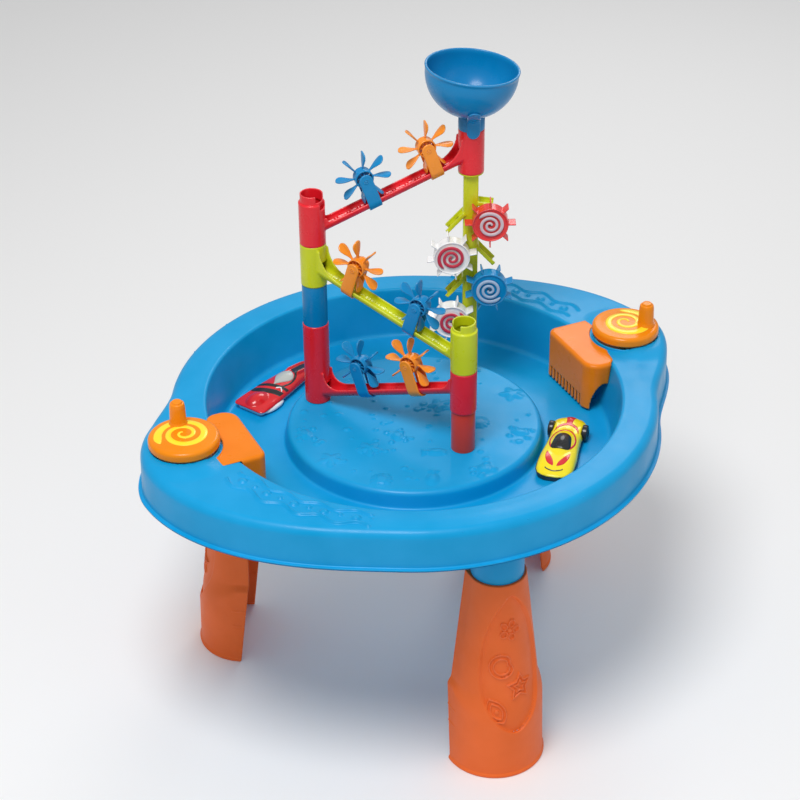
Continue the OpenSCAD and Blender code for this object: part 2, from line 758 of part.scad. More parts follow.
module racer_body() {
    color("red") place_car(racer_at, racer_turn) hull() {
        translate([-car_length / 2, -car_width / 2, 6]) cube([34, car_width, 3.5]);
        translate([car_length / 2 - 14, -11, 6]) cube([14, 22, 6]);
        translate([-car_length / 2 + 20, -16, 17]) cube([58, 32, 5]);
    }
}

module racer_canopy() {
    color("lightgray") place_car(racer_at, racer_turn) hull() {
        translate([-2, 0, 22]) cylinder(r = 10, h = 2, $fn = 32);
        translate([16, 0, 22]) cylinder(r = 8, h = 1, $fn = 32);
        translate([2, 0, 22]) cylinder(r = 6, h = 6, $fn = 32);
    }
}

module coupe_hull() {
    color("black") place_car(coupe_at, coupe_turn) hull() {
        translate([-car_length / 2 + 22, 0, 0]) cylinder(r = 18, h = 6, $fn = 32);
        translate([car_length / 2 - 14, -17, 0]) cube([12, 34, 6]);
    }
}

module coupe_body() {
    color("yellow") place_car(coupe_at, coupe_turn) difference() {
        hull() {
            translate([-car_length / 2 + 25, 0, 6]) cylinder(r = 24, h = 7, $fn = 32);
            translate([car_length / 2 - 16, -21, 6]) cube([16, 42, 10]);
            translate([0, 0, 22]) cylinder(r = 16, h = 4, $fn = 32);
        }
        for (y = [-1, 1]) translate([car_axle_x, y * car_width / 2, car_wheel_r - 0.5]) rotate([90, 0, 0])
            cylinder(r = car_wheel_r + 1.5, h = 18, center = true);
    }
}

module coupe_canopy() {
    color("dimgray") place_car(coupe_at, coupe_turn) hull() {
        translate([-5, 0, 26]) cylinder(r = 12, h = 1, $fn = 32);
        translate([9, 0, 26]) cylinder(r = 9.5, h = 3, $fn = 32);
    }
}

module coupe_wheels() {
    color("black") place_car(coupe_at, coupe_turn) for (y = [-1, 1])
        translate([car_axle_x, y * (car_width / 2 - 4), car_wheel_r]) rotate([90, 0, 0])
            cylinder(r = car_wheel_r, h = 7.5, center = true);
}

// ---------------------------------------------------------------- nodes

tub();
leg_front();
leg_right();
leg_left();
drain_plug();
pump_housing();  // pump_housing_right
rotate(180) pump_housing();  // pump_housing_left
drive_base();  // drive_base_right
rotate(180) drive_base();  // drive_base_left
drive_screws();
crank_disc(knob_angles[0]);  // crank_disc_right
rotate(180) crank_disc(knob_angles[1]);  // crank_disc_left
crank_gear();  // crank_gear_right
rotate(180) crank_gear();  // crank_gear_left
crank_spiral(knob_angles[0]);  // crank_spiral_right
rotate(180) crank_spiral(knob_angles[1]);  // crank_spiral_left
crank_knob(knob_angles[0]);  // crank_knob_right
rotate(180) crank_knob(knob_angles[1]);  // crank_knob_left
impeller();  // impeller_right
rotate(180) impeller();  // impeller_left
impeller_pinion();  // impeller_pinion_right
rotate(180) impeller_pinion();  // impeller_pinion_left
base_tube();
low_trough();
spacer_tube();
middle_trough();
top_trough();
post_ring();
wheel_post();
funnel();
for (i = [0 : 5]) wheel_clip(i);
for (i = [0 : 5]) paddle_wheel(i);
spiral_wheel(0, "red");  // spiral_wheel_1
spiral_wheel(1, "white");  // spiral_wheel_2
spiral_wheel(2, "dodgerblue");  // spiral_wheel_3
spiral_wheel(3, "white");  // spiral_wheel_4
spiral_inlay(0, "lightgray");  // spiral_inlay_1
spiral_inlay(1, "crimson");  // spiral_inlay_2
spiral_inlay(2, "lightsteelblue");  // spiral_inlay_3
spiral_inlay(3, "crimson");  // spiral_inlay_4
wheel_pins();
racer_hull();
racer_body();
racer_canopy();
coupe_hull();
coupe_body();
coupe_canopy();
coupe_wheels();
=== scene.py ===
# Sand and water play table: the detailed visual model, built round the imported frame.
# Shapes are worked out in millimetres and scaled to metres where a mesh is made.
import functools
import json
import math

import bpy
import numpy as np
from mathutils import Matrix, Vector


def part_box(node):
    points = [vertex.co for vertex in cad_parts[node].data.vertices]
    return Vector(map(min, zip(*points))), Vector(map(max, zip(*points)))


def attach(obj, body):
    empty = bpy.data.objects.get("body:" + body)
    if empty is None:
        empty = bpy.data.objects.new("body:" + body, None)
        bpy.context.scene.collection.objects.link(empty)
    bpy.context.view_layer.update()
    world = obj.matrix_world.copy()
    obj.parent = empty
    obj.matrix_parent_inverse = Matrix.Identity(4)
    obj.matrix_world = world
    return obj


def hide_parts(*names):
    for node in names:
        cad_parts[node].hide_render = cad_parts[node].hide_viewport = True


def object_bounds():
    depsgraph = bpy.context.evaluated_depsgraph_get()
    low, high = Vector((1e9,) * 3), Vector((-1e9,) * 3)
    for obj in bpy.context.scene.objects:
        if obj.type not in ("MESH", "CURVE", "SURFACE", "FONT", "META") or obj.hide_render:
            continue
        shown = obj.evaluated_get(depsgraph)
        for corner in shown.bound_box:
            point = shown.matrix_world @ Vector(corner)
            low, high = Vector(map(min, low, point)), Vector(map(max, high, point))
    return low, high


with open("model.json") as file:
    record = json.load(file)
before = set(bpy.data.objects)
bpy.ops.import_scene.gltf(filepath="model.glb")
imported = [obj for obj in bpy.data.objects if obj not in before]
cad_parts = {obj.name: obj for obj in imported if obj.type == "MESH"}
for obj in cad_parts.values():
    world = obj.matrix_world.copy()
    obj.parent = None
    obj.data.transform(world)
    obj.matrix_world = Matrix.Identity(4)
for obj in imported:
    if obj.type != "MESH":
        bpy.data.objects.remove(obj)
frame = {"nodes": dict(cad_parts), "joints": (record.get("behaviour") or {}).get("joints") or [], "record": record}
CAD_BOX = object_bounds()
MM = 0.001

# ---------------------------------------------------------------- camera, light and floor, in metres

CAMERA_EYE = Vector((-0.9881, -2.0932, 1.8767))
CAMERA_LOOK = Vector((0.3546, 0.7675, -0.5342))
CAMERA_ROLL = math.radians(-0.56)
CAMERA_LENS = 91.35


def add_camera():
    data = bpy.data.cameras.new("camera")
    data.sensor_width = 36
    data.lens = CAMERA_LENS
    data.dof.use_dof = False
    camera = bpy.data.objects.new("camera", data)
    bpy.context.scene.collection.objects.link(camera)
    turn = CAMERA_LOOK.to_track_quat("-Z", "Y").to_matrix().to_4x4()
    camera.matrix_world = Matrix.Translation(CAMERA_EYE) @ turn @ Matrix.Rotation(CAMERA_ROLL, 4, "Z")
    bpy.context.scene.camera = camera


def add_area(name, place, target, size, power):
    data = bpy.data.lights.new(name, "AREA")
    data.shape = "DISK"
    data.size = size
    data.energy = power
    light = bpy.data.objects.new(name, data)
    bpy.context.scene.collection.objects.link(light)
    light.location = place
    light.rotation_euler = (Vector(target) - Vector(place)).to_track_quat("-Z", "Y").to_euler()


def add_studio():
    world = bpy.data.worlds.new("studio")
    bpy.context.scene.world = world
    world.use_nodes = True
    background = world.node_tree.nodes["Background"]
    background.inputs["Color"].default_value = (1, 1, 1, 1)
    background.inputs["Strength"].default_value = 0.44
    bpy.context.scene.view_settings.view_transform = "Standard"
    add_area("key", (-0.9, -0.9, 3.1), (0, 0, 0.5), 1.3, 62)
    add_area("fill", (1.8, -2.2, 1.6), (0, 0, 0.4), 1.8, 3)
    add_area("back", (1.6, 1.9, 2.2), (0, 0, 0.5), 1.2, 14)
    bpy.ops.mesh.primitive_plane_add(size=14, location=(0, 0, CAD_BOX[0][2] - 0.0004))
    floor = bpy.context.object
    floor.name = "studio_floor"
    paint = bpy.data.materials.new("floor_pale")
    paint.use_nodes = True
    shader = paint.node_tree.nodes["Principled BSDF"]
    shader.inputs["Base Color"].default_value = (0.93, 0.93, 0.93, 1)
    shader.inputs["Roughness"].default_value = 0.7
    floor.data.materials.append(paint)


add_camera()
add_studio()

# ---------------------------------------------------------------- materials

MATERIALS = {}


def new_paint(name):
    """A new material kept under its name, with its node tree and shader."""
    paint = MATERIALS[name] = bpy.data.materials.new(name)
    paint.use_nodes = True
    return paint, paint.node_tree, paint.node_tree.nodes["Principled BSDF"]


def plastic(name, color, rough=0.3, coat=0.3, speckle=0.05, grain=0.08, glow=0.0, wear_and_highlight=0.45, spec=0.3):
    """Moulded plastic: slow colour drift, pale edges that are partly wear and partly a painted highlight, fine
    grain, uneven gloss and scratches.
    """
    paint, tree, shader = new_paint(name)
    add, link = tree.nodes.new, tree.links.new
    place = add("ShaderNodeTexCoord").outputs["Object"]

    def noise(scale, detail, stretch=None):
        node = add("ShaderNodeTexNoise")
        node.inputs["Scale"].default_value = scale
        node.inputs["Detail"].default_value = detail
        source = place
        if stretch:
            mapping = add("ShaderNodeMapping")
            mapping.inputs["Scale"].default_value = stretch
            link(place, mapping.inputs["Vector"])
            source = mapping.outputs["Vector"]
        link(source, node.inputs["Vector"])
        return node.outputs["Fac"]

    def ramp(value, low, high, to_low, to_high):
        node = add("ShaderNodeMapRange")
        for key, amount in (("From Min", low), ("From Max", high), ("To Min", to_low), ("To Max", to_high)):
            node.inputs[key].default_value = amount
        link(value, node.inputs["Value"])
        return node.outputs["Result"]

    def mixed(factor, first, second):
        node = add("ShaderNodeMix")
        node.data_type = "RGBA"
        link(factor, node.inputs["Factor"])
        for socket, value in ((node.inputs["A"], first), (node.inputs["B"], second)):
            if isinstance(value, tuple):
                socket.default_value = value
            else:
                link(value, socket)
        return node.outputs["Result"]

    deep = tuple(c * (1 - 1.6 * speckle) for c in color) + (1,)
    light = tuple(min(1, c * (1 + speckle) + 0.01) for c in color) + (1,)
    # Convex edges, found by pointiness, are made paler: partly edge wear, partly a painted highlight.
    worn_and_highlit = tuple(min(1, 0.82 * c + 0.16) for c in color) + (1,)
    drift = mixed(ramp(noise(14, 3), 0.3, 0.7, 0, 1), deep, light)
    edges = add("ShaderNodeNewGeometry").outputs["Pointiness"]
    link(mixed(ramp(edges, 0.53, 0.62, 0, wear_and_highlight), drift, worn_and_highlit), shader.inputs["Base Color"])
    scratches = ramp(noise(60, 4, (1, 14, 3)), 0.62, 0.72, 0, 0.10)
    uneven = ramp(noise(35, 5), 0.3, 0.7, rough - 0.04, rough + 0.07)
    total = add("ShaderNodeMath")
    link(scratches, total.inputs[0])
    link(uneven, total.inputs[1])
    link(total.outputs[0], shader.inputs["Roughness"])
    bump = add("ShaderNodeBump")
    bump.inputs["Strength"].default_value = grain
    bump.inputs["Distance"].default_value = 0.0004
    link(noise(1400, 2), bump.inputs["Height"])
    link(bump.outputs["Normal"], shader.inputs["Normal"])
    shader.inputs["Coat Weight"].default_value = coat
    shader.inputs["Coat Roughness"].default_value = 0.12
    shader.inputs["IOR"].default_value = 1.5
    shader.inputs["Specular IOR Level"].default_value = spec
    if glow:
        shader.inputs["Subsurface Weight"].default_value = glow
        shader.inputs["Subsurface Radius"].default_value = (0.006, 0.006, 0.006)
        shader.inputs["Subsurface Scale"].default_value = 1.0
    return paint


def steel(name):
    """Plated screw and pin steel with fine turning marks."""
    paint, tree, shader = new_paint(name)
    shader.inputs["Metallic"].default_value = 1.0
    rings = tree.nodes.new("ShaderNodeTexNoise")
    rings.inputs["Scale"].default_value = 2500
    gloss = tree.nodes.new("ShaderNodeMapRange")
    gloss.inputs["To Min"].default_value = 0.2
    gloss.inputs["To Max"].default_value = 0.42
    tint = tree.nodes.new("ShaderNodeValToRGB")
    tint.color_ramp.elements[0].color = (0.42, 0.42, 0.45, 1)
    tint.color_ramp.elements[1].color = (0.66, 0.66, 0.68, 1)
    tree.links.new(rings.outputs["Fac"], gloss.inputs["Value"])
    tree.links.new(rings.outputs["Fac"], tint.inputs["Fac"])
    tree.links.new(gloss.outputs["Result"], shader.inputs["Roughness"])
    tree.links.new(tint.outputs["Color"], shader.inputs["Base Color"])
    return paint


PAINTS = {
    # The tub gets no pale edges: neither edge wear nor painted edge highlight.
    "tub_blue": dict(color=(0.0, 0.33, 0.68), rough=0.36, coat=0.06, speckle=0.03, grain=0.12,
                     wear_and_highlight=0.0, spec=0.2),
    "leg_orange": dict(color=(0.84, 0.14, 0.016), rough=0.5, coat=0.05, speckle=0.04, grain=0.2),
    "pump_orange": dict(color=(0.88, 0.22, 0.002), spec=0.2, rough=0.28, coat=0.12, speckle=0.04),
    "crank_orange": dict(color=(0.90, 0.26, 0.002), spec=0.2, rough=0.24, coat=0.15, speckle=0.04),
    "spiral_yellow": dict(color=(1.0, 0.78, 0.008), rough=0.3, coat=0.4, speckle=0.03),
    "gear_white": dict(color=(0.82, 0.82, 0.78), rough=0.42, coat=0.05, speckle=0.03, grain=0.15),
    "impeller_red": dict(color=(0.42, 0.05, 0.015), rough=0.35, coat=0.3),
    "tower_red": dict(color=(0.80, 0.010, 0.022), rough=0.27, coat=0.25, speckle=0.04),
    "tower_orange": dict(color=(0.70, 0.04, 0.012), rough=0.3, coat=0.35, speckle=0.04),
    "tower_green": dict(color=(0.60, 0.66, 0.004), rough=0.27, coat=0.25, speckle=0.04, glow=0.08),
    "tower_blue": dict(color=(0.0, 0.215, 0.49), spec=0.2, rough=0.28, coat=0.15, speckle=0.04),
    "wheel_orange": dict(color=(0.95, 0.29, 0.01), rough=0.27, coat=0.4, speckle=0.05),
    "wheel_blue": dict(color=(0.0, 0.24, 0.54), spec=0.2, rough=0.27, coat=0.15, speckle=0.05),
    "wheel_red": dict(color=(0.78, 0.03, 0.03), rough=0.24, coat=0.4, glow=0.12),
    "wheel_white": dict(color=(0.88, 0.88, 0.88), rough=0.26, coat=0.4, speckle=0.02, glow=0.1),
    "inlay_grey": dict(color=(0.66, 0.52, 0.56), rough=0.38, coat=0.2, speckle=0.03),
    "inlay_crimson": dict(color=(0.60, 0.008, 0.045), rough=0.34, coat=0.2, speckle=0.03),
    "inlay_steel_blue": dict(color=(0.38, 0.50, 0.68), rough=0.38, coat=0.2, speckle=0.03),
    "racer_red": dict(color=(0.72, 0.012, 0.018), rough=0.2, coat=0.6, speckle=0.04),
    "car_white": dict(color=(0.86, 0.86, 0.86), rough=0.25, coat=0.5, speckle=0.02),
    "canopy_grey": dict(color=(0.50, 0.53, 0.50), rough=0.3, coat=0.3, speckle=0.08),
    "coupe_yellow": dict(color=(1.0, 0.78, 0.008), rough=0.2, coat=0.6, speckle=0.03),
    "car_black": dict(color=(0.016, 0.016, 0.018), rough=0.28, coat=0.4, speckle=0.05),
}


def paint_for(slot):
    if slot in MATERIALS:
        return MATERIALS[slot]
    if slot == "screw_steel":
        return steel(slot)
    return plastic(slot, **PAINTS[slot])


# ---------------------------------------------------------------- meshes

def make_mesh(name, part):
    """Mesh from points in millimetres and their faces; a skin's quads come as one array."""
    points, faces = part
    points = np.asarray(points, float) * MM
    mesh = bpy.data.meshes.new(name)
    if isinstance(faces, np.ndarray):
        mesh.vertices.add(len(points))
        mesh.vertices.foreach_set("co", points.astype(np.float32).ravel())
        mesh.loops.add(faces.size)
        mesh.loops.foreach_set("vertex_index", faces.astype(np.int32).ravel())
        mesh.polygons.add(len(faces))
        mesh.polygons.foreach_set("loop_start", np.arange(0, faces.size, 4, dtype=np.int32))
        mesh.update(calc_edges=True)
    else:
        mesh.from_pydata(points.tolist(), [], [list(map(int, f)) for f in faces])
    mesh.validate()
    mesh.shade_smooth()
    return mesh


def add_piece(name, part, slot, body, nodes):
    mesh = make_mesh(name, part)
    mesh.materials.append(paint_for(slot))
    piece = bpy.data.objects.new(name, mesh)
    bpy.context.scene.collection.objects.link(piece)
    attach(piece, body)
    if nodes:
        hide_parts(*nodes)
    return piece


def joined(parts):
    """One list of points and faces out of several."""
    verts, faces, base = [], [], 0
    for points, polygons in parts:
        verts.append(np.asarray(points, float))
        faces.extend([[int(i) + base for i in f] for f in polygons])
        base += len(points)
    return np.vstack(verts), faces


def placed(part, matrix):
    points, polygons = part
    points = np.asarray(points, float)
    grown = np.hstack([points, np.ones((len(points), 1))])
    return (grown @ np.asarray(matrix, float).T)[:, :3], polygons


def shifted(part, x, y=0.0):
    return np.asarray(part[0], float) + np.array([x, y, 0]), part[1]


def turned(part, degrees):
    return placed(part, Matrix.Rotation(math.radians(degrees), 4, "Z"))


def fillet(points, radii, steps=6, closed=False):
    """The polyline with an arc of the given radius at each corner."""
    points = [np.array(p, float) for p in points]
    count, out = len(points), []
    for i, corner in enumerate(points):
        radius = radii[i] if hasattr(radii, "__len__") else radii
        if radius <= 0 or (not closed and i in (0, count - 1)):
            out.append(corner)
            continue
        before = points[i - 1] - corner
        after = points[(i + 1) % count] - corner
        la, lb = np.linalg.norm(before), np.linalg.norm(after)
        ua, ub = before / la, after / lb
        half = 0.5 * math.acos(max(-1, min(1, float(ua @ ub))))
        if abs(half - math.pi / 2) < 1e-3:
            out.append(corner)
            continue
        cut = min(radius / math.tan(half), 0.49 * la, 0.49 * lb)
        rad = cut * math.tan(half)
        bisector = (ua + ub) / np.linalg.norm(ua + ub)
        centre = corner + bisector * rad / math.sin(half)
        start, end = corner + ua * cut - centre, corner + ub * cut - centre
        sweep = math.acos(max(-1, min(1, float(start @ end) / rad ** 2)))
        for k in range(steps + 1):
            t = k / steps
            a, b = math.sin((1 - t) * sweep), math.sin(t * sweep)
            out.append(centre + (a * start + b * end) / math.sin(sweep))
    return np.array(out)


def lathe(profile, around=72, closed=False):
    """Turned shape round Z from (radius, height) points; a point on the axis closes the end."""
    profile = np.asarray(profile, float)
    verts, rings = [], []
    angles = np.arange(around) * 2 * math.pi / around
    for r, z in profile:
        if r < 1e-6:
            rings.append([len(verts)])
            verts.append((0, 0, z))
        else:
            rings.append(list(range(len(verts), len(verts) + around)))
            verts.extend((r * math.cos(a), r * math.sin(a), z) for a in angles)
    faces = []
    pairs = list(zip(rings[:-1], rings[1:])) + ([(rings[-1], rings[0])] if closed else [])
    for low, high in pairs:
        for i in range(around):
            j = (i + 1) % around
            if len(low) == 1 and len(high) > 1:
                faces.append((low[0], high[j], high[i]))
            elif len(high) == 1 and len(low) > 1:
                faces.append((low[i], low[j], high[0]))
            elif len(low) > 1:
                faces.append((low[i], low[j], high[j], high[i]))
    return np.array(verts), faces


def turned_ring(section, radii, around):
    """Ring turned from a closed section, its corners rounded first."""
    return lathe(fillet(section, radii, 4, closed=True), around, closed=True)


def ring_tube(r_out, r_in, low, high, round_by=0.8, around=72):
    return turned_ring([(r_out, low), (r_out, high), (r_in, high), (r_in, low)], round_by, around)


# ---------------------------------------------------------------- shapes from distance fields

def most(*values):
    """Largest of several numbers or arrays at each point: what the shapes of the fields share."""
    return functools.reduce(np.maximum, values)


def least(*values):
    """Smallest of several numbers or arrays at each point: the fields' shapes taken together."""
    return functools.reduce(np.minimum, values)


def smooth_min(a, b, k):
    h = np.clip(0.5 + 0.5 * (b - a) / k, 0, 1)
    return b * (1 - h) + a * h - k * h * (1 - h)


def smooth_max(a, b, k):
    return -smooth_min(-a, -b, k)


def folded(angle, count):
    """The angle measured from the nearest of count evenly spaced directions."""
    half = math.pi / count
    return (angle + half) % (2 * half) - half


def ease(t):
    """Smooth step from 0 to 1."""
    t = np.clip(t, 0, 1)
    return t * t * (3 - 2 * t)


def box_field(x, y, z, half, r=0.0):
    qx, qy, qz = (np.abs(v) - h + r for v, h in zip((x, y, z), half))
    outside = np.sqrt(most(qx, 0) ** 2 + most(qy, 0) ** 2 + most(qz, 0) ** 2)
    return outside + least(most(qx, qy, qz), 0) - r


def rod_field(radial, along, radius, half, r=0.0):
    """Round rod: radial distance from its axis, distance along it from its middle."""
    a, b = radial - radius + r, np.abs(along) - half + r
    return np.sqrt(most(a, 0) ** 2 + most(b, 0) ** 2) + least(most(a, b), 0) - r


def skin(field, low, high, step):
    """Quad skin of the surface where the field is zero (surface nets, then moved onto the surface)."""
    low, high = np.array(low, float), np.array(high, float)
    count = np.ceil((high - low) / step).astype(int) + 1
    axes = [low[k] + step * np.arange(count[k]) for k in range(3)]
    grid = np.meshgrid(*axes, indexing="ij", sparse=True)
    f = np.ascontiguousarray(np.broadcast_to(field(*grid), tuple(count)).astype(np.float32))
    inside = f < 0
    total = np.zeros(tuple(count - 1), np.int8)
    for i in (0, 1):
        for j in (0, 1):
            for k in (0, 1):
                total += inside[i:count[0] - 1 + i, j:count[1] - 1 + j, k:count[2] - 1 + k]
    active = (total > 0) & (total < 8)
    cells = np.argwhere(active)
    ids = np.full(active.shape, -1, np.int64)
    ids[active] = np.arange(len(cells))
    place, crossed = np.zeros((len(cells), 3)), np.zeros(len(cells))
    for axis in range(3):
        for a in (0, 1):
            for b in (0, 1):
                near = np.zeros(3, int)
                near[(axis + 1) % 3], near[(axis + 2) % 3] = a, b
                far = near.copy()
                far[axis] = 1
                v0 = f[tuple((cells + near).T)]
                v1 = f[tuple((cells + far).T)]
                cut = (v0 < 0) != (v1 < 0)
                t = v0[cut] / (v0[cut] - v1[cut])
                spot = np.repeat(near[None].astype(float), len(t), 0)
                spot[:, axis] += t
                place[cut] += spot
                crossed[cut] += 1
    verts = low + step * (cells + place / crossed[:, None])
    reach = 0.2 * step
    for _ in range(3):
        x, y, z = verts.T
        slope = np.stack([
            field(x + reach, y, z) - field(x - reach, y, z),
            field(x, y + reach, z) - field(x, y - reach, z),
            field(x, y, z + reach) - field(x, y, z - reach)], 1) / (2 * reach)
        steep = most((slope ** 2).sum(1), 0.05)
        move = np.clip(field(x, y, z) / steep, -0.5 * step, 0.5 * step)
        verts = verts - 0.8 * move[:, None] * slope
    quads = []
    for axis in range(3):
        b, c = (axis + 1) % 3, (axis + 2) % 3
        first, second = [slice(1, -1)] * 3, [slice(1, -1)] * 3
        first[axis], second[axis] = slice(0, -1), slice(1, None)
        s0, s1 = inside[tuple(first)], inside[tuple(second)]
        for keep, order in ((s0 & ~s1, (0, 1, 2, 3)), (~s0 & s1, (3, 2, 1, 0))):
            at = np.argwhere(keep)
            at[:, b] += 1
            at[:, c] += 1
            corners = []
            for db, dc in ((-1, -1), (0, -1), (0, 0), (-1, 0)):
                cell = at.copy()
                cell[:, b] += db
                cell[:, c] += dc
                corners.append(ids[tuple(cell.T)])
            quads.append(np.stack([corners[i] for i in order], 1))
    return verts, np.vstack(quads)


# ---------------------------------------------------------------- places taken from the frame

def low_mm(node):
    return np.array(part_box(node)[0]) / MM


def high_mm(node):
    return np.array(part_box(node)[1]) / MM


def mid_mm(node):
    return 0.5 * (low_mm(node) + high_mm(node))


def set_at(place, x, y, z):
    """Matrix that lays a part's own axes along three directions at a place."""
    matrix = Matrix((x, y, z)).transposed().to_4x4()
    matrix.translation = place
    return matrix


JOINTS = {j["name"]: j for j in frame["joints"]}


def joint_mm(name):
    return np.array(JOINTS[name]["pos_m"]) / MM


PLAIN_R = high_mm("tub")[1]
SKIN_INSET = 0.3
RIM_Z = 430.0
FLOOR_Z = 358.0
ISLAND_Z = 382.0
BASIN_R = 279.0
WALL_FOOT_R = 268.0
ISLAND_R = 172.0
WALL = 3.0
LEG_CIRCLE = 248.0
DISC_POCKET_R = 45.0
CRANK_X = joint_mm("crank_right_turn")[0]
LOBE_RISE, LOBE_START, LOBE_PEAK, LOBE_END = 62.0, -27.0, 4.0, 62.0
LEFT_AT = mid_mm("spacer_tube")[:2]
RIGHT_AT = mid_mm("base_tube")[:2]
BACK_AT = mid_mm("post_ring")[:2]
AXLE_H = 34.0
TUBE_R, TUBE_BORE, TUBE_STEP = 17.5, 15.3, 60.5
SPIGOT_R, SPIGOT_H = 15.2, 12.0
TROUGH_R, TROUGH_BORE = 11.0, 9.0
POST_AXIS = JOINTS["spiral_wheel_1_spin"]["axis"]
VIEW_TURN = math.degrees(math.atan2(POST_AXIS[0], -POST_AXIS[1]))


def on_post(height):
    """Matrix of a part on the back stack's axis, turned to face the way its wheels do."""
    turn = Matrix.Rotation(math.radians(VIEW_TURN), 4, "Z")
    return Matrix.Translation((*BACK_AT, height)) @ turn


def rim_r(degrees):
    """Outer radius of the tub, which swells into a lobe under each crank."""
    a = (np.asarray(degrees, float) + 90) % 180 - 90
    rising = ease((a - LOBE_START) / (LOBE_PEAK - LOBE_START))
    falling = 1 - ease((a - LOBE_PEAK) / (LOBE_END - LOBE_PEAK))
    return PLAIN_R - SKIN_INSET + LOBE_RISE * np.where(a < LOBE_PEAK, rising, falling)


# ---------------------------------------------------------------- tub

def ridge(distance, half):
    """Height of a soft-edged raised line, from the distance to its middle."""
    return ease((half + 0.7 - np.abs(distance)) / 1.4)


RELIEF_R, RELIEF_HALF, BUBBLE_PITCH = 307, 105, 42


def rim_relief(radius, degrees):
    """Raised waves and round bubbles on the two long stretches of rim."""
    height = np.zeros(np.broadcast(radius, degrees).shape)
    v = radius - RELIEF_R
    for middle in (-144.5, 35.5):
        u = np.radians((degrees - middle + 180) % 360 - 180) * RELIEF_R
        inside = ease((RELIEF_HALF - np.abs(u)) / 3)
        wave = ridge(v - 10 - 4.5 * np.sin(u / 8), 1.6) + ridge(v + 14 - 3.5 * np.sin(u / 8 + 1), 1.6)
        for k in range(-2, 3):
            wave = wave + ease((6.5 - np.hypot(u - BUBBLE_PITCH * k, v + 2)) / 3)
            wave = wave + ease((3.6 - np.hypot(u - BUBBLE_PITCH * (k + 0.5), v + 3)) / 2)
        height = height + np.clip(wave, 0, 1) * inside
    return 3.0 * height


def creature(kind, u, v):
    """0 inside to 1 at the edge of a simple sea creature about 18 mm in radius."""
    d, t = np.hypot(u, v), np.arctan2(v, u)
    if kind == 0:
        return d / (11 + 8 * np.abs(np.cos(2.5 * t)) ** 1.6)
    if kind == 1:
        return d / (15 + 1.2 * np.cos(12 * t)) + 0.35 * (v < -9)
    if kind == 2:
        tail = most(np.abs(v) / most(0.75 * (u - 8), 0.5), (u - 20) / 2 + 1, 10 - u)
        return least(np.hypot(u / 15, v / 9), tail)
    if kind == 3:
        flippers = [np.hypot((u - a) / 6, (v - b) / 4.5)
                    for a, b in ((11, 9), (11, -9), (-10, 8), (-10, -8))]
        head = np.hypot((u - 17) / 5, v / 4)
        return least(np.hypot(u / 13.5, v / 11), *flippers, head)
    claws = [np.hypot((u - a) / 5, (v - 11) / 4.5) for a in (-12, 12)]
    legs = [np.hypot((u - a) / 3, (v + 8) / 4) for a in (-14, -7, 7, 14)]
    return least(np.hypot(u / 13, v / 9), *claws, *legs)


# distance from the middle of the island, direction and turn of each creature, in mm and degrees
CREATURES = ((150, 0, 12), (146, 34, 200), (152, 66, 70), (138, 118, 20), (150, 168, 250),
             (146, 196, 100), (150, 228, 330), (144, 254, 60), (150, 282, 190), (146, 322, 140),
             (92, 205, 30), (88, 330, 260), (84, 265, 160), (96, 95, 300), (46, 215, 80), (50, 20, 15))


def island_relief(x, y):
    height = np.zeros(x.shape)
    for k, (radius, angle, turn) in enumerate(CREATURES):
        a, t = math.radians(angle), math.radians(turn)
        dx, dy = x - radius * math.cos(a), y - radius * math.sin(a)
        u, v = dx * math.cos(t) + dy * math.sin(t), -dx * math.sin(t) + dy * math.cos(t)
        edge = creature(k % 5, u, v)
        height = most(height, 1.4 * ease((1 - edge) * 5) + 1.6 * ease((0.8 - edge) * 2))
    scatter = np.random.default_rng(11)
    for _ in range(90):
        radius = 158 * math.sqrt(scatter.random())
        a = 2 * math.pi * scatter.random()
        size = 3 + 4 * scatter.random()
        pebble = np.hypot(x - radius * math.cos(a), (y - radius * math.sin(a)) * 1.3)
        height = most(height, 1.8 * ease((size - pebble) / 3.5))
    return height * ease((168 - np.hypot(x, y)) / 4)


def spread(values, gap):
    """The same run of points with none further apart than gap."""
    out = [values[0]]
    for a, b in zip(values[:-1], values[1:]):
        steps = max(1, int(math.ceil(np.linalg.norm(b - a) / gap)))
        out.extend(a + (b - a) * k / steps for k in range(1, steps + 1))
    return np.array(out)


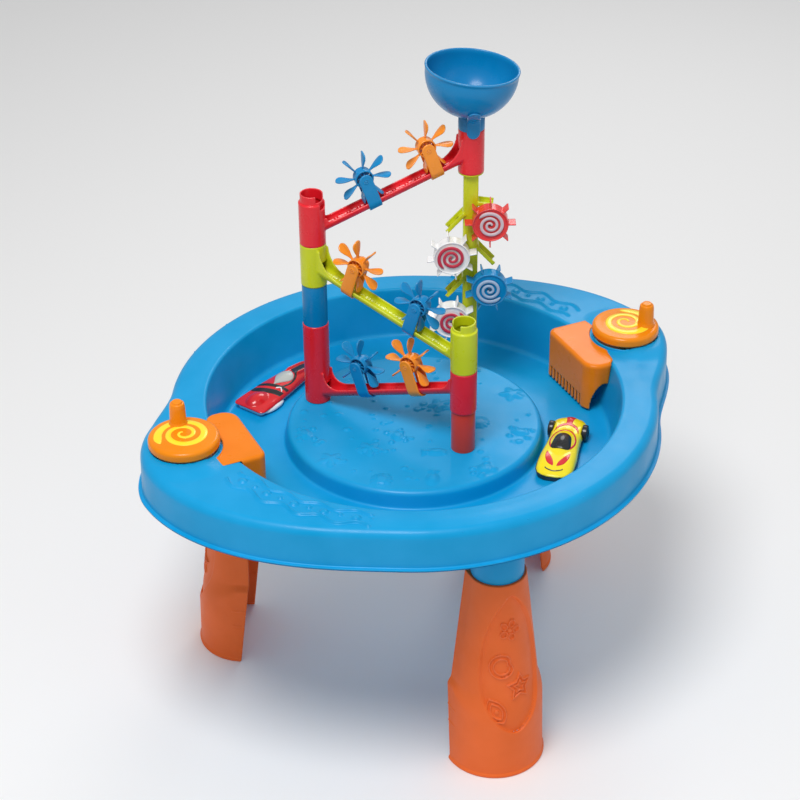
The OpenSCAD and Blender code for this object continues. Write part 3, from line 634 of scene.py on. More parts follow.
def tub_sheet():
    """Top skin of the tub from the flange in to the middle of the island, on rays of uneven spacing."""
    angles, a = [], -180.0
    while a < 180 - 1e-6:
        angles.append(a)
        fine = -168 < a < -121 or 12 < a < 59
        a += 0.3 if fine else 0.75
    angles = np.array(angles)
    outer = fillet([(0, 376.6), (-0.3, 378), (-5.0, 378.2), (-6.6, RIM_Z), (-30, RIM_Z + 0.5)],
                   [0, 0.3, 2, 15, 0], 9)
    outer = spread(outer[outer[:, 0] > -24], 8)
    crown_in = BASIN_R + 8
    crown = np.linspace(0, 1, 46)[1:]
    inner = fillet([(crown_in, RIM_Z + 0.6), (BASIN_R, RIM_Z + 0.4), (WALL_FOOT_R - 0.8, FLOOR_Z),
                    (ISLAND_R + 4, FLOOR_Z), (ISLAND_R, ISLAND_Z), (0.5, ISLAND_Z)],
                   [0, 6, 8, 4, 8, 0], 7)
    rim_part = spread(inner[inner[:, 0] > ISLAND_R - 10], 5)
    top_part = np.array([(r, ISLAND_Z) for r in np.linspace(ISLAND_R - 11, 1.5, 105)])
    inner = np.vstack([rim_part, top_part])
    edge_r = rim_r(angles)
    rows_r, rows_z = [], []
    for d, z in outer:
        rows_r.append(edge_r + d)
        rows_z.append(np.full(len(angles), z))
    start_r, start_z = edge_r + outer[-1][0], outer[-1][1]
    for k in crown:
        rows_r.append(start_r + (crown_in - start_r) * k)
        rise = (RIM_Z + 0.6 - start_z) * k
        rows_z.append(np.full(len(angles), start_z + rise) + 0.9 * math.sin(math.pi * k))
    for r, z in inner[1:]:
        rows_r.append(np.full(len(angles), r))
        rows_z.append(np.full(len(angles), z))
    r, z = np.array(rows_r), np.array(rows_z)
    a = np.radians(angles)[None, :]
    x, y = r * np.cos(a), r * np.sin(a)
    crank = np.hypot(np.abs(x) - CRANK_X, y)
    swell = ease((80 - crank) / 30) * ease((np.abs(x) - 290) / 30) * ease((z - 380) / 45)
    z = z + swell * (436 - RIM_Z - 0.5)
    z = z + np.where(z > 427, rim_relief(r, np.degrees(a) + 0 * r), 0) * (swell < 0.02) * (r > 284)
    z = z + np.where(r < ISLAND_R - 6, island_relief(x, y), 0)
    pocket = crank < DISC_POCKET_R
    bay = (np.abs(y) < 25) & (np.abs(x) > 200) & (r > 261) & (r < 286) & (z > 361) & (z < 428)
    count = len(angles)
    ids = np.arange(r.size).reshape(r.shape)
    faces = []
    for i in range(len(r) - 1):
        for j in range(count):
            k = (j + 1) % count
            corners = ((i, j), (i, k), (i + 1, k), (i + 1, j))
            if all(pocket[c] for c in corners) or all(bay[c] for c in corners):
                continue
            faces.append([ids[c] for c in corners])
    lift = DISC_POCKET_R / most(crank, 1e-3)
    x2 = np.where(pocket, np.sign(x) * (CRANK_X + (np.abs(x) - CRANK_X) * lift), x)
    y2 = np.where(pocket, y * lift, y)
    verts = np.stack([x2.ravel(), y2.ravel(), z.ravel()], 1)
    middle = len(verts)
    verts = np.vstack([verts, [[0, 0, ISLAND_Z]]])
    last = ids[-1]
    faces.extend([[last[j], last[(j + 1) % count], middle] for j in range(count)])
    used = np.zeros(len(verts), bool)
    used[[v for f in faces for v in f]] = True
    renumber = np.cumsum(used) - 1
    return verts[used], [[renumber[v] for v in f] for f in faces]


def box_part(low, high, r=0.8, turn=0.0, at=(0, 0, 0)):
    """Box with softened upright edges and rims, from two corners."""
    low, high = np.array(low, float), np.array(high, float)
    plan = fillet([(low[0], low[1]), (high[0], low[1]), (high[0], high[1]), (low[0], high[1])],
                  r, 4, closed=True)
    centre = 0.5 * (low + high)[:2]
    rings = []
    for inset, z in ((r, low[2]), (0.3 * r, low[2] + 0.3 * r), (0, low[2] + r),
                     (0, high[2] - r), (0.3 * r, high[2] - 0.3 * r), (r, high[2])):
        toward = 1 - inset / most(0.5 * (high - low)[:2], 1e-6)
        flat = centre + (plan - centre) * toward
        rings.append(np.column_stack([flat, np.full(len(flat), z)]))
    count = len(plan)
    verts = np.vstack(rings)
    faces = []
    for base in range(0, 5 * count, count):
        for i in range(count):
            j = (i + 1) % count
            faces.append([base + i, base + j, base + count + j, base + count + i])
    faces.append(list(range(count))[::-1])
    faces.append([5 * count + i for i in range(count)])
    matrix = Matrix.Translation(Vector(at)) @ Matrix.Rotation(math.radians(turn), 4, "Z")
    return placed((verts, faces), matrix)


tub_skin = add_piece("tub_skin", tub_sheet(), "tub_blue", "table", ["tub"])
thick = tub_skin.modifiers.new("wall", "SOLIDIFY")
thick.thickness = WALL * MM
thick.offset = -1


def tub_details():
    parts = []
    for turn in (0, 180):
        cup = fillet([(46.3, 409), (46.3, 433.5), (44.6, 434.5), (44.2, 412), (0.01, 412), (0.01, 409)],
                     [0, 0.8, 0.8, 3, 0, 0], 4)
        cup[-1][0] = cup[-2][0] = 0
        bay = [box_part((285, -28, 360), (288, 28, 427)), box_part((258, -28, 360), (288, -25.4, 426)),
               box_part((258, 25.4, 360), (288, 28, 426)), box_part((258, -28, 355.4), (288, 28, 358.2))]
        parts += [turned(part, turn) for part in [shifted(lathe(cup), CRANK_X)] + bay]
    for angle in (-90, 30, 150):
        socket = ring_tube(34.7, 31.7, 258, 356.5, 0.8)
        around = math.radians(angle)
        leg_at = LEG_CIRCLE * math.cos(around), LEG_CIRCLE * math.sin(around)
        parts.append(shifted(socket, *leg_at))
        for offset in (-35, 0, 35):
            web = box_part((32, -1.4, 300), (60, 1.4, 356))
            parts.append(shifted(turned(web, angle + 180 + offset), *leg_at))
    for angle in range(0, 360, 15):
        a = (angle + 90) % 180 - 90
        if -30 < a < 66:
            continue
        parts.append(turned(box_part((BASIN_R + 1.5, -1.4, 384), (PLAIN_R - 9, 1.4, 427)), angle))
    for (x, y), r in ((LEFT_AT, 15.2), (RIGHT_AT, 13.4)):
        foot, top = ISLAND_Z - 2, ISLAND_Z + SPIGOT_H
        ring = fillet([(r, foot), (r, top), (r - 2.2, top), (r - 2.2, foot)], [0, 1, 0.8, 0], 4)
        parts.append(shifted(lathe(ring, closed=True), x, y))
    parts.append(box_part((-6, -6, ISLAND_Z - 2), (6, 6, ISLAND_Z + 12), 0.8, VIEW_TURN, (*BACK_AT, 0)))
    return joined(parts)


add_piece("tub_fittings", tub_details(), "tub_blue", "table", ["tub"])

DRAIN_AT = mid_mm("drain_plug")[:2]
plug = lathe([(0, 355.6), (7, 355.6), (7, 346), (8.9, 346), (8.9, 356.1), (12.2, 356.1), (12.7, 356.5),
              (12.7, 357.4), (12.2, 357.9), (9.5, 357.9), (8.8, 357.2), (3.4, 357.2), (2.8, 357.9),
              (0, 357.9)], 96)
bars = [box_part((-8.5, -1.1, 357.0), (8.5, 1.1, 357.9), 0.4, turn) for turn in (20, 110)]
add_piece("drain_plug_moulded", shifted(joined([plug] + bars), *DRAIN_AT),
          "tub_blue", "drain_plug", ["drain_plug"])

# ---------------------------------------------------------------- legs

def outline_ridge(u, v, radius_at, scales):
    """Raised outlines of a closed shape given by its radius at each direction."""
    d, t = np.hypot(u, v), np.arctan2(v, u)
    return most(0, *(ridge(d - k * radius_at(t), 1.0) for k in scales))


def star_distance(u, v, tip, notch):
    """Distance outside a five-pointed star, less than zero inside it."""
    a = np.abs(folded(np.arctan2(v, u) - 0.3, 5))
    d = np.hypot(u, v)
    low_x, low_y = notch * math.cos(0.2 * math.pi), notch * math.sin(0.2 * math.pi)
    edge = math.hypot(tip - low_x, low_y)
    return ((d * np.cos(a) - tip) * low_y + d * np.sin(a) * (tip - low_x)) / edge


def leg_relief(u, z):
    spin = folded(np.arctan2(z - 229, u + 3) - 1.2, 5)
    reach = np.hypot(u + 3, z - 229)
    petal = np.hypot((reach * np.cos(spin) - 10.2) / 5.2, reach * np.sin(spin) / 4.4)
    flower = most(ridge((petal - 1) * 4.6, 0.9), ease((4.0 - reach) / 1.4))
    bean = outline_ridge(u + 16, z - 175, lambda t: 18 - 5.5 * np.exp(-((t - 0.3) / 0.5) ** 2), (1.0, 0.66))
    star = star_distance(u - 10, z - 139, 20, 10)
    star = most(ridge(star, 1.0), ridge(star + 4.6, 0.9))
    stone = outline_ridge(u + 27, z - 107, lambda t: 20 / (1 + 0.62 * np.abs(np.cos(t - 0.5))), (1.0, 0.64))
    stone = most(stone, ease((3.6 - np.hypot(u + 27, z - 107)) / 1.4))
    return most(flower, bean, star, stone)


def leg_field(x, y, z):
    around = np.arctan2(x, -y)
    share = least(np.abs(around) / (0.5 * math.pi), 1)
    foot = np.interp(z, (0, 3, 6), (68.0, 68.0, 66.0)) - 2.5 * np.clip((z - 6) / 92, 0, 2)
    stem = 59 - 21 * (z - 112) / 186
    width = 12 + 44 * (1 - share ** 2)
    shoulder = ease((z - 105 - 20 * share ** 2) / width + 0.5)
    r = foot + (stem - foot) * shoulder
    u = around * r
    t = np.where(z < 152, (152 - z) / 81, (z - 152) / 131)
    wide = 50 * most(1 - t ** 2, 0) ** np.where(z < 152, 0.6, 0.75)
    panel = ease((wide - np.abs(u)) / 5)
    r = r - 4.6 * panel + 2.4 * leg_relief(u, z) * panel
    side = np.where(y > -8, 1.0, 0.0) * (ridge(z - 62, 1.2) + ridge(z - 88, 1.2))
    r = r + 0.7 * np.clip(side, 0, 1) * (z < 100)
    flat = np.where(y > 0, np.abs(x), np.hypot(x, y))
    wall = most(flat - r, r - WALL - flat)
    half = smooth_max(wall, y - 2 - 16 * np.clip(z / 130, 0, 1), 1.5)
    round_r = np.hypot(x, y)
    collar = most(round_r - r, r - WALL - round_r, 268 - z)
    lid = most(round_r - 37.8, 31.9 - round_r, 295 - z)
    whole = least(half, collar, lid)
    return smooth_max(0.93 * whole, most(z - 298, -z), 1.2)


leg_part = skin(leg_field, (-70, -70, -2), (70, 21, 300), 1.05)
for leg, angle in (("front", -90), ("right", 30), ("left", 150)):
    matrix = Matrix.Rotation(math.radians(angle + 90), 4, "Z") @ Matrix.Translation((0, -LEG_CIRCLE, 0))
    add_piece("leg_shell_" + leg, placed(leg_part, matrix), "leg_orange", "table", ["leg_" + leg])

# ---------------------------------------------------------------- pump housings

def wall_r(z):
    return WALL_FOOT_R + (BASIN_R - WALL_FOOT_R) * (z - 363) / 67


def round_max(a, b, r):
    """Meeting of two half spaces with its edge rounded to the given radius."""
    outside = np.sqrt(most(a + r, 0) ** 2 + most(b + r, 0) ** 2)
    return outside + least(most(a, b) + r, 0) - r


HOUSING_NEAR, HOUSING_FAR = -60.0, 62.0


def housing_field(x, y, z):
    radial = np.hypot(x, y)
    reach = 305 - 20 * ease((15 - y) / 50)
    front, near, far = 237 - x, HOUSING_NEAR - y, y - HOUSING_FAR
    plan = round_max(round_max(front, far, 12), near, 22)
    rim_cut = np.where(y < 0, round_max(most(front, near), radial - reach, 14), radial - reach)
    outer = smooth_max(most(plan, rim_cut), z - 432.6, 6)
    inside = round_max(round_max(front + 2.6, far + 2.6, 10), near + 2.6, 20)
    inner = smooth_max(inside, z - 430.0, 5)
    outer = most(outer, least(radial - wall_r(z) + 0.8, 430.1 - z), 362 - z)
    outer = smooth_max(outer, 49 - np.hypot(x - CRANK_X, y), 1.5)
    shell = smooth_max(outer, -inner, 1.0)
    pitch = 9.0
    slot = most(np.abs((y - 1 + 0.5 * pitch) % pitch - 0.5 * pitch) - 2.0, z - 379, x - 243,
                np.abs(y - 6) - 42)
    shell = smooth_max(shell, -slot, 0.8)
    arch = most((np.hypot((x - 261) / 17.5, (z - 362) / 40) - 1) * 16, y - HOUSING_NEAR - 16)
    return 0.95 * smooth_max(shell, -arch, 0.8)


housing = skin(housing_field, (234, HOUSING_NEAR - 3, 360), (308, HOUSING_FAR + 3, 435), 1.25)
for side, turn in (("right", 0), ("left", 180)):
    add_piece(f"pump_housing_{side}_moulded", turned(housing, turn), "pump_orange", "table",
              ["pump_housing_" + side])

# ---------------------------------------------------------------- cranks

DISC_R, DISC_LOW, DISC_TOP = 46.4, 438.0, 452.0


def dome_z(r):
    return DISC_TOP - 0.8 + 2.4 * (1 - (r / 36.0) ** 2)


def spiral_part(r0, r1, turns, half_at, low, top_at, steps=170):
    """Raised spiral band with a slightly rounded top, as one closed strip."""
    verts, faces = [], []
    for i in range(steps + 1):
        t = i / steps
        a, r = 2 * math.pi * turns * t, r0 + (r1 - r0) * t
        w = half_at(t) * min(1, math.sqrt(min(i, steps - i) / 4 + 0.02))
        for across, drop in ((-1, 0.5), (-0.82, 0.1), (0.82, 0.1), (1, 0.5)):
            q = r + across * w
            verts.append((q * math.cos(a), q * math.sin(a), top_at(q) - drop))
        for across in (1, -1):
            q = r + across * w
            verts.append((q * math.cos(a), q * math.sin(a), low))
    for i in range(steps):
        a, b = 6 * i, 6 * (i + 1)
        faces += [(a + k, b + k, b + (k + 1) % 6, a + (k + 1) % 6) for k in range(6)]
    faces.append(tuple(range(6)))
    faces.append(tuple(6 * steps + k for k in range(6))[::-1])
    faces = [tuple(reversed(f)) for f in faces]
    return np.array(verts), faces


def crank_disc_part():
    top = [(r, dome_z(r)) for r in np.linspace(36, 0, 14)]
    profile = [(5.1, 436), (9, 436), (9, 441), (42.4, 441), (43.6, DISC_LOW), (45.4, DISC_LOW)]
    edge = fillet(profile + [(DISC_R, 440), (DISC_R, 450.8), (36, dome_z(36))],
                  [0, 0.6, 1.5, 2, 0.5, 0.6, 1, 8, 0], 8)
    under = [(0, 447.6), (5.1, 447.6)]
    return lathe(under + [tuple(p) for p in edge] + top[1:], 120)


knob_profile = fillet([(0, 451), (13, 451), (12, 453.4), (10.9, 457), (10.1, 478), (9.2, 483), (6.9, 483.4),
                       (6.5, 485.6), (0, 486)], [0, 0.4, 2, 3, 2, 2.6, 0.6, 1.2, 0], 5)
for side, turn in (("right", 0), ("left", 180)):
    body = "crank_" + side
    knob_at = mid_mm("crank_knob_" + side)[:2]
    centre = joint_mm(body + "_turn")[:2]
    knob_turn = math.degrees(math.atan2(*(knob_at - centre)[::-1]))
    add_piece("crank_plate_" + side, shifted(crank_disc_part(), *centre),
              "crank_orange", body, ["crank_disc_" + side])
    band = spiral_part(3, 34.5, 2.3, lambda t: 1.4 + 4.2 * t, DISC_TOP - 3, lambda q: dome_z(q) + 0.8)
    band = shifted(turned(band, knob_turn), *centre)
    add_piece("crank_swirl_" + side, band,
              "spiral_yellow", body, ["crank_spiral_" + side])
    add_piece("crank_grip_" + side, shifted(lathe(knob_profile, 72), *knob_at),
              "crank_orange", body, ["crank_knob_" + side])

# ---------------------------------------------------------------- troughs and tubes

def trough_part(high_at, low_at, high_h, low_h, rises, tubes, spigots, notches=()):
    """One moulded run: a U channel between two upright tubes, side gussets and a spigot on each tube.

    A notch lets the next run into the lower tube: direction, half width, start and foot.
    """
    high_at, low_at = np.array(high_at, float), np.array(low_at, float)
    length = np.linalg.norm(low_at - high_at)
    turn = math.atan2(*(low_at - high_at)[::-1])
    slope = (low_h - high_h) / length
    lean = math.cos(math.atan(slope))

    def field(x, y, z):
        w = (z - high_h - slope * x) * lean
        below = np.hypot(y, least(w, 0))
        channel = most(below - TROUGH_R, TROUGH_BORE - below, w - 1)
        solid = most(smooth_max(channel, w - 1, 0.6), -x, x - length)
        for d, rise in ((x, rises[0]), (length - x, rises[1])):
            drop = np.clip((TUBE_R + rise - d) / rise, 0, 1)
            top = rise * (1 - np.sqrt(most(1 - drop ** 2, 0)))
            plate = most(np.abs(y) - TROUGH_R, TROUGH_BORE - np.abs(y), -w - 2)
            plate = most(plate, 0.75 * (w - 1 - top), 14 - d, d - TUBE_R - rise)
            solid = smooth_min(solid, plate, 0.5)
        cavity = most(below - TROUGH_BORE, w - 9)
        cavity = most(cavity, -x, x - length)
        for k, centre in enumerate((0.0, length)):
            radial = np.hypot(x - centre, y)
            low, high = tubes[k]
            tube = rod_field(radial, z - 0.5 * (low + high), TUBE_R, 0.5 * (high - low), 1.0)
            solid = smooth_min(solid, tube, 1.6)
        solid = smooth_max(solid, -cavity, 0.5)
        for k, centre in enumerate((0.0, length)):
            radial = np.hypot(x - centre, y)
            low, high = tubes[k]
            bore = most(radial - TUBE_BORE, low - 1 - z, z - high + 3)
            solid = smooth_max(solid, -bore, 0.5)
            mouth = most(radial - SPIGOT_R + 1.8, z - high - 40)
            if spigots[k]:
                neck = rod_field(radial, z - high + 1 - 0.5 * SPIGOT_H, SPIGOT_R, 0.5 * SPIGOT_H + 1, 0.8)
                neck = most(neck, high - 2 - z)
                solid = smooth_min(solid, neck, 0.4)
            mouth = most(mouth, high - 5 - z)
            solid = smooth_max(solid, -mouth, 0.4)
            if k == 1:
                for aim, half_cut, start, foot in notches:
                    a = math.radians(aim) - turn
                    u = (x - centre) * math.cos(a) + y * math.sin(a)
                    v = -(x - centre) * math.sin(a) + y * math.cos(a)
                    cut = smooth_max(most(np.abs(v) - half_cut, start - u), high + foot - z, 2)
                    solid = smooth_max(solid, -cut, 0.6)
        return 0.95 * solid

    low_z = min(t[0] for t in tubes) - 2
    high_z = max(t[1] + (SPIGOT_H if s else 0) for t, s in zip(tubes, spigots)) + 2
    part = skin(field, (-20, -20, low_z), (length + 20, 20, high_z), 1.25)
    return shifted(turned(part, math.degrees(turn)), *high_at)


LEFT_LOW = ISLAND_Z + 2 * TUBE_STEP
RIGHT_LOW = ISLAND_Z + TUBE_STEP
BACK_TUBE = 695.0


def tube_span(low, step):
    """Bottom and top of the tube that stands step tubes above a stack's lowest height."""
    return low + step * TUBE_STEP, low + (step + 1) * TUBE_STEP


top_part = trough_part(BACK_AT, LEFT_AT, 725, 646, (24, 8),
                       ((BACK_TUBE, BACK_TUBE + TUBE_STEP + 1), tube_span(LEFT_LOW, 2)),
                       (False, True), ((-58, 8.3, 4, 3), (-49, 6.5, 14.5, -8)))
middle_part = trough_part(LEFT_AT, RIGHT_AT, 595, 521, (26, 8),
                          (tube_span(LEFT_LOW, 1), tube_span(RIGHT_LOW, 1)), (True, True),
                          ((-165, 7, 4, 4),))
low_part = trough_part(RIGHT_AT, LEFT_AT, 479.5, 397, (12, 26),
                       (tube_span(RIGHT_LOW, 0), (ISLAND_Z + 0.2, LEFT_LOW)), (True, True))
for name, slot, part in (("top_trough", "tower_red", top_part),
                         ("middle_trough", "tower_green", middle_part),
                         ("low_trough", "tower_red", low_part)):
    add_piece(name + "_moulded", part, slot, "table", [name])


def stacked_tube(r, bore, low, high, neck=0.0):
    """Tube with a rounded shoulder and, if neck is its radius, a spigot on top."""
    points = [(r, low), (r, high)]
    if neck:
        top = high + SPIGOT_H
        points += [(neck, high), (neck, top), (neck - 1.8, top), (neck - 1.8, high - 3), (bore, high - 4)]
    else:
        points += [(bore, high)]
    points += [(bore, low)]
    radii = [0.7, 1.2] + [0.8] * (len(points) - 3) + [0.7]
    return turned_ring(points, radii, 96)


spacer = stacked_tube(16.8, TUBE_BORE, LEFT_LOW, LEFT_LOW + TUBE_STEP, SPIGOT_R)
base = stacked_tube(16.0, 13.3, ISLAND_Z + 0.2, RIGHT_LOW - 0.2, SPIGOT_R)
post_ring = ring_tube(17.1, 8.2, 693, 695, 0.7, 96)
for name, slot, part, at in (("spacer_tube", "tower_blue", spacer, LEFT_AT),
                             ("base_tube", "tower_orange", base, RIGHT_AT),
                             ("post_ring", "tower_green", post_ring, BACK_AT)):
    add_piece(name + "_moulded", shifted(part, *at), slot, "table", [name])

# ---------------------------------------------------------------- funnel

def funnel_bowl():
    outer, inner = 61.3, 58.9
    points = [(outer * math.sin(a), -outer * math.cos(a)) for a in np.linspace(0.235, 0.5 * math.pi, 26)]
    points += [(61.5, 3.6), (62.2, 4.4), (62.4, 5.6), (62.0, 6.5), (61.0, 6.9), (59.6, 6.7), (58.9, 5.6)]
    points += [(inner * math.sin(a), -inner * math.cos(a)) for a in np.linspace(0.5 * math.pi, 0.245, 26)]
    return lathe(points, 144, closed=True)


BOWL_Z = BACK_TUBE + 2 * TUBE_STEP + 20
COLLAR_Z = BACK_TUBE + TUBE_STEP + 1


def tongue_field(x, y, z):
    """Drip guide proud of the bowl that runs down over the tube below; heights from the collar."""
    bowl = np.sqrt(x ** 2 + y ** 2 + (z - BOWL_Z + COLLAR_Z) ** 2)
    round_r = np.hypot(x, y)
    outer = smooth_min(bowl - 64.3, round_r - 19.8, 4)
    u = x - 2
    plan = np.hypot(u, most(z - 34, 0) + least(z - 1, 0)) - 9.0
    edge = smooth_max(plan, y + 6, 1)
    return 0.8 * smooth_max(smooth_max(outer, edge, 1.6), most(60.3 - bowl, 17.0 - round_r), 0.4)


bowl_at = on_post(BOWL_Z) @ Matrix.Rotation(math.radians(5.5), 4, "Y")
neck_points = [(17.5, COLLAR_Z), (17.5, COLLAR_Z + 24), (13.2, COLLAR_Z + 24), (13.2, COLLAR_Z - SPIGOT_H),
               (15.1, COLLAR_Z - SPIGOT_H), (15.1, COLLAR_Z)]
neck = turned_ring(neck_points, [0.9, 0, 0, 0.8, 0.8, 0.4], 96)
funnel_parts = joined([placed(funnel_bowl(), bowl_at), shifted(neck, *BACK_AT)])
add_piece("funnel_bowl", funnel_parts, "tower_blue", "table", ["funnel"])
tongue = skin(tongue_field, (-12, -56, -12), (15, -3, 46), 1.0)
add_piece("funnel_tongue", placed(tongue, on_post(COLLAR_Z)), "tower_blue", "table", ["funnel"])

# ---------------------------------------------------------------- post that carries the spiral wheels

FIRST_WHEEL_Z = joint_mm("spiral_wheel_1_spin")[2]
WHEEL_PITCH = FIRST_WHEEL_Z - joint_mm("spiral_wheel_2_spin")[2]
WHEEL_SIDE = 25.5


def post_field(x, y, z):
    body = box_field(x, y, z - 537.5, (10, 10, 155.5), 2.0)
    stripe = box_field(x, y + 10, z - 537.5, (4.2, 0.5, 153), 0.4)
    groove = box_field(x, y - 10, z - 537.5, (4, 6.5, 134), 1.0)
    whole = smooth_min(body, stripe, 0.5)
    for i in range(4):
        side = 1 if i % 2 == 0 else -1
        wheel_z = FIRST_WHEEL_Z - i * WHEEL_PITCH
        arm = box_field(x - side * 0.5 * WHEEL_SIDE, y + 7, z - wheel_z, (0.5 * WHEEL_SIDE, 3, 6), 1.2)
        boss = rod_field(np.hypot(x - side * WHEEL_SIDE, z - wheel_z), y + 7, 6.4, 3.4, 1.0)
        whole = smooth_min(whole, least(arm, boss), 2.0)
        lean, start, length = (math.radians(48), 61, 36) if i else (math.radians(8), 20, 22)
        up = z - wheel_z - start
        u = side * x * math.cos(lean) - up * math.sin(lean) - 9
        v = side * x * math.sin(lean) + up * math.cos(lean)
        chute = box_field(u - 0.5 * length, y + 2, v - 3, (0.5 * length, 10, 3), 0.8)
        hollow = box_field(u - 2 - 0.5 * length, y + 2, v - 5, (0.5 * length, 8.6, 3.6), 0.6)
        chute = smooth_max(chute, -hollow, 0.5)
        whole = smooth_min(whole, chute, 1.2)
    hole = rod_field(np.hypot(x, y), z - ISLAND_Z, 6.4, SPIGOT_H + 1)
    socket = box_field(x, y, z - ISLAND_Z, (6.2, 6.2, SPIGOT_H + 1))
    for i in range(4):
        side = 1 if i % 2 == 0 else -1
        radial = np.hypot(x - side * WHEEL_SIDE, z - FIRST_WHEEL_Z + i * WHEEL_PITCH)
        pin = rod_field(radial, y + 7, 2.6, 12)
        whole = most(whole, -pin)
    whole = smooth_max(whole, -groove, 0.8)
    return 0.95 * most(whole, -least(socket, hole))


post = placed(skin(post_field, (-42, -28, 380), (42, 12, 696), 1.25), on_post(0))
add_piece("wheel_post_moulded", post, "tower_green", "table", ["wheel_post"])
stub = shifted(ring_tube(7.7, 5.6, 692, 707, 0.8, 48), *BACK_AT)
add_piece("wheel_post_stub", stub, "tower_green", "table", ["wheel_post"])

# ---------------------------------------------------------------- paddle wheels and their clips

def paddle_field(x, y, z):
    radial = np.hypot(x, z)
    hub = most(radial - 12.5, 10.6 - radial, np.abs(y) - 7)
    boss = rod_field(radial, y, 4.0, 10.8, 0.6)
    axle = rod_field(radial, y, 2.0, 14.3, 0.5)
    a = folded(np.arctan2(z, x) - math.radians(19), 8)
    along, across = radial * np.cos(a), radial * np.sin(a)
    spoke = most(np.abs(across) - 0.7, np.abs(y) - 4.5, along - 11)
    wide = np.interp(along, (11, 14, 18, 23, 28, 32, 35, 37, 38),
                     (2.0, 2.0, 3.4, 6.2, 8.2, 8.4, 6.8, 3.8, 0.2))
    dish = across - 0.9 * (y / 6.5) ** 2 + 0.5
    petal = smooth_max(np.abs(dish) - 1.0, 0.75 * (np.abs(y) - wide), 1.0)
    petal = most(petal, 10.8 - along, along - 38)
    whole = smooth_min(least(hub, spoke), boss, 0.8)
    whole = smooth_min(whole, petal, 0.8)
    return 0.9 * least(whole, axle)


def clip_field(x, y, z):
    low = z + AXLE_H
    around = np.where(low < 0, np.hypot(y, low), np.abs(y))
    band = smooth_max(around - 13.7, 11.2 - around, 0.4)
    head = np.where(z > 0, np.hypot(x, z) - 9, np.abs(x) - 9)
    taper = np.abs(x) - 9
    whole = smooth_max(band, np.where(z > 0, head, taper), 1.0)
    bump = rod_field(np.hypot(x, z), np.abs(y) - 13.7, 3.4, 0.8, 0.5)
    whole = smooth_min(whole, bump, 0.8)
    return 0.95 * most(whole, 2.1 - np.hypot(x, z))


paddle_part = skin(paddle_field, (-39.2, -15.2, -39.2), (39.2, 15.2, 39.2), 0.85)
clip_part = skin(clip_field, (-10.5, -16, -49.5), (10.5, 16, 10.5), 0.9)
for k in range(1, 7):
    partner = k + 1 if k % 2 else k - 1
    here, there = joint_mm(f"paddle_wheel_{k}_spin"), joint_mm(f"paddle_wheel_{partner}_spin")
    along = Vector((there - here) * (1 if k % 2 else -1)).normalized()
    axis = Vector(JOINTS[f"paddle_wheel_{k}_spin"]["axis"]).normalized()
    matrix = set_at(here, along, axis, along.cross(axis))
    slot = "wheel_orange" if k % 2 else "wheel_blue"
    add_piece(f"paddle_wheel_{k}_petals", placed(paddle_part, matrix),
              slot, f"paddle_wheel_{k}", [f"paddle_wheel_{k}"])
    add_piece(f"wheel_clip_{k}_moulded", placed(clip_part, matrix),
              slot, "table", [f"wheel_clip_{k}"])

# ---------------------------------------------------------------- spiral wheels

def drum_field(x, y, z, turn):
    radial = np.hypot(x, y)
    drum = rod_field(radial, z - 0.5, 24.2, 9.5, 0.9)
    dish = rod_field(radial, z - 11.2, 20.6, 1.4, 0.5)
    a = folded(np.arctan2(y, x) - math.radians(turn), 8)
    along, across = radial * np.cos(a), radial * np.sin(a)
    blade = box_field(along - 28.2, across, z - 0.5, (5.8, 0.9, 8.5), 0.4)
    whole = smooth_min(smooth_max(drum, -dish, 0.5), blade, 0.8)
    back = rod_field(radial, z + 10, 21.6, 8.5, 1.0)
    hub = rod_field(radial, z + 2, 5.5, 7, 0.5)
    ribs = most(np.abs(across) - 0.8, radial - 22.5, np.abs(z + 4.5) - 4.4)
    whole = smooth_max(whole, -back, 0.6)
    whole = least(whole, hub, ribs)
    return 0.93 * most(whole, 2.6 - radial + 20 * (z > 8.6))


SPIRALS = (("wheel_red", "inlay_grey"), ("wheel_white", "inlay_crimson"),
           ("wheel_blue", "inlay_steel_blue"), ("wheel_white", "inlay_crimson"))
for i, (slot, inlay) in enumerate(SPIRALS):
    name = f"spiral_wheel_{i + 1}"
    face = Vector(JOINTS[name + "_spin"]["axis"]).normalized()
    across = Vector((math.cos(math.radians(VIEW_TURN)), math.sin(math.radians(VIEW_TURN)), 0))
    matrix = set_at(joint_mm(name + "_spin"), across, Vector((0, 0, 1)), face)
    drum = skin(lambda x, y, z: drum_field(x, y, z, 10.0 * i),
                (-35.4, -35.4, -10.5), (35.4, 35.4, 11.5), 0.9)
    add_piece(name + "_drum", placed(drum, matrix), slot, name, [name])
    band = spiral_part(1.5, 18.4, 2.4, lambda t: 1.5 + 0.75 * t, 9.0, lambda q: 10.9, 150)
    band = placed(turned(band, 90 * i), matrix)
    add_piece(name + "_swirl", band, inlay, name, [f"spiral_inlay_{i + 1}"])

# ---------------------------------------------------------------- toy cars, nose along -X

CAR_HALF, CAR_SCALE, COUPE_AXLE_X = 59.0, 1.165, 36
FLOAT_Z = FLOOR_Z + 0.4


def car_place(radius, around, turn):
    a = math.radians(around)
    return (Matrix.Translation((radius * math.cos(a), radius * math.sin(a), FLOAT_Z))
            @ Matrix.Rotation(math.radians(turn), 4, "Z") @ Matrix.Scale(CAR_SCALE, 4))


CAR_AT = {"racer": car_place(220, 124.5, 28), "coupe": car_place(204, -39.5, 49.5)}


def car_piece(name, field, low, high, step, slot, body, node):
    add_piece(name, placed(skin(field, low, high, step), CAR_AT[body]), slot, body, [node])


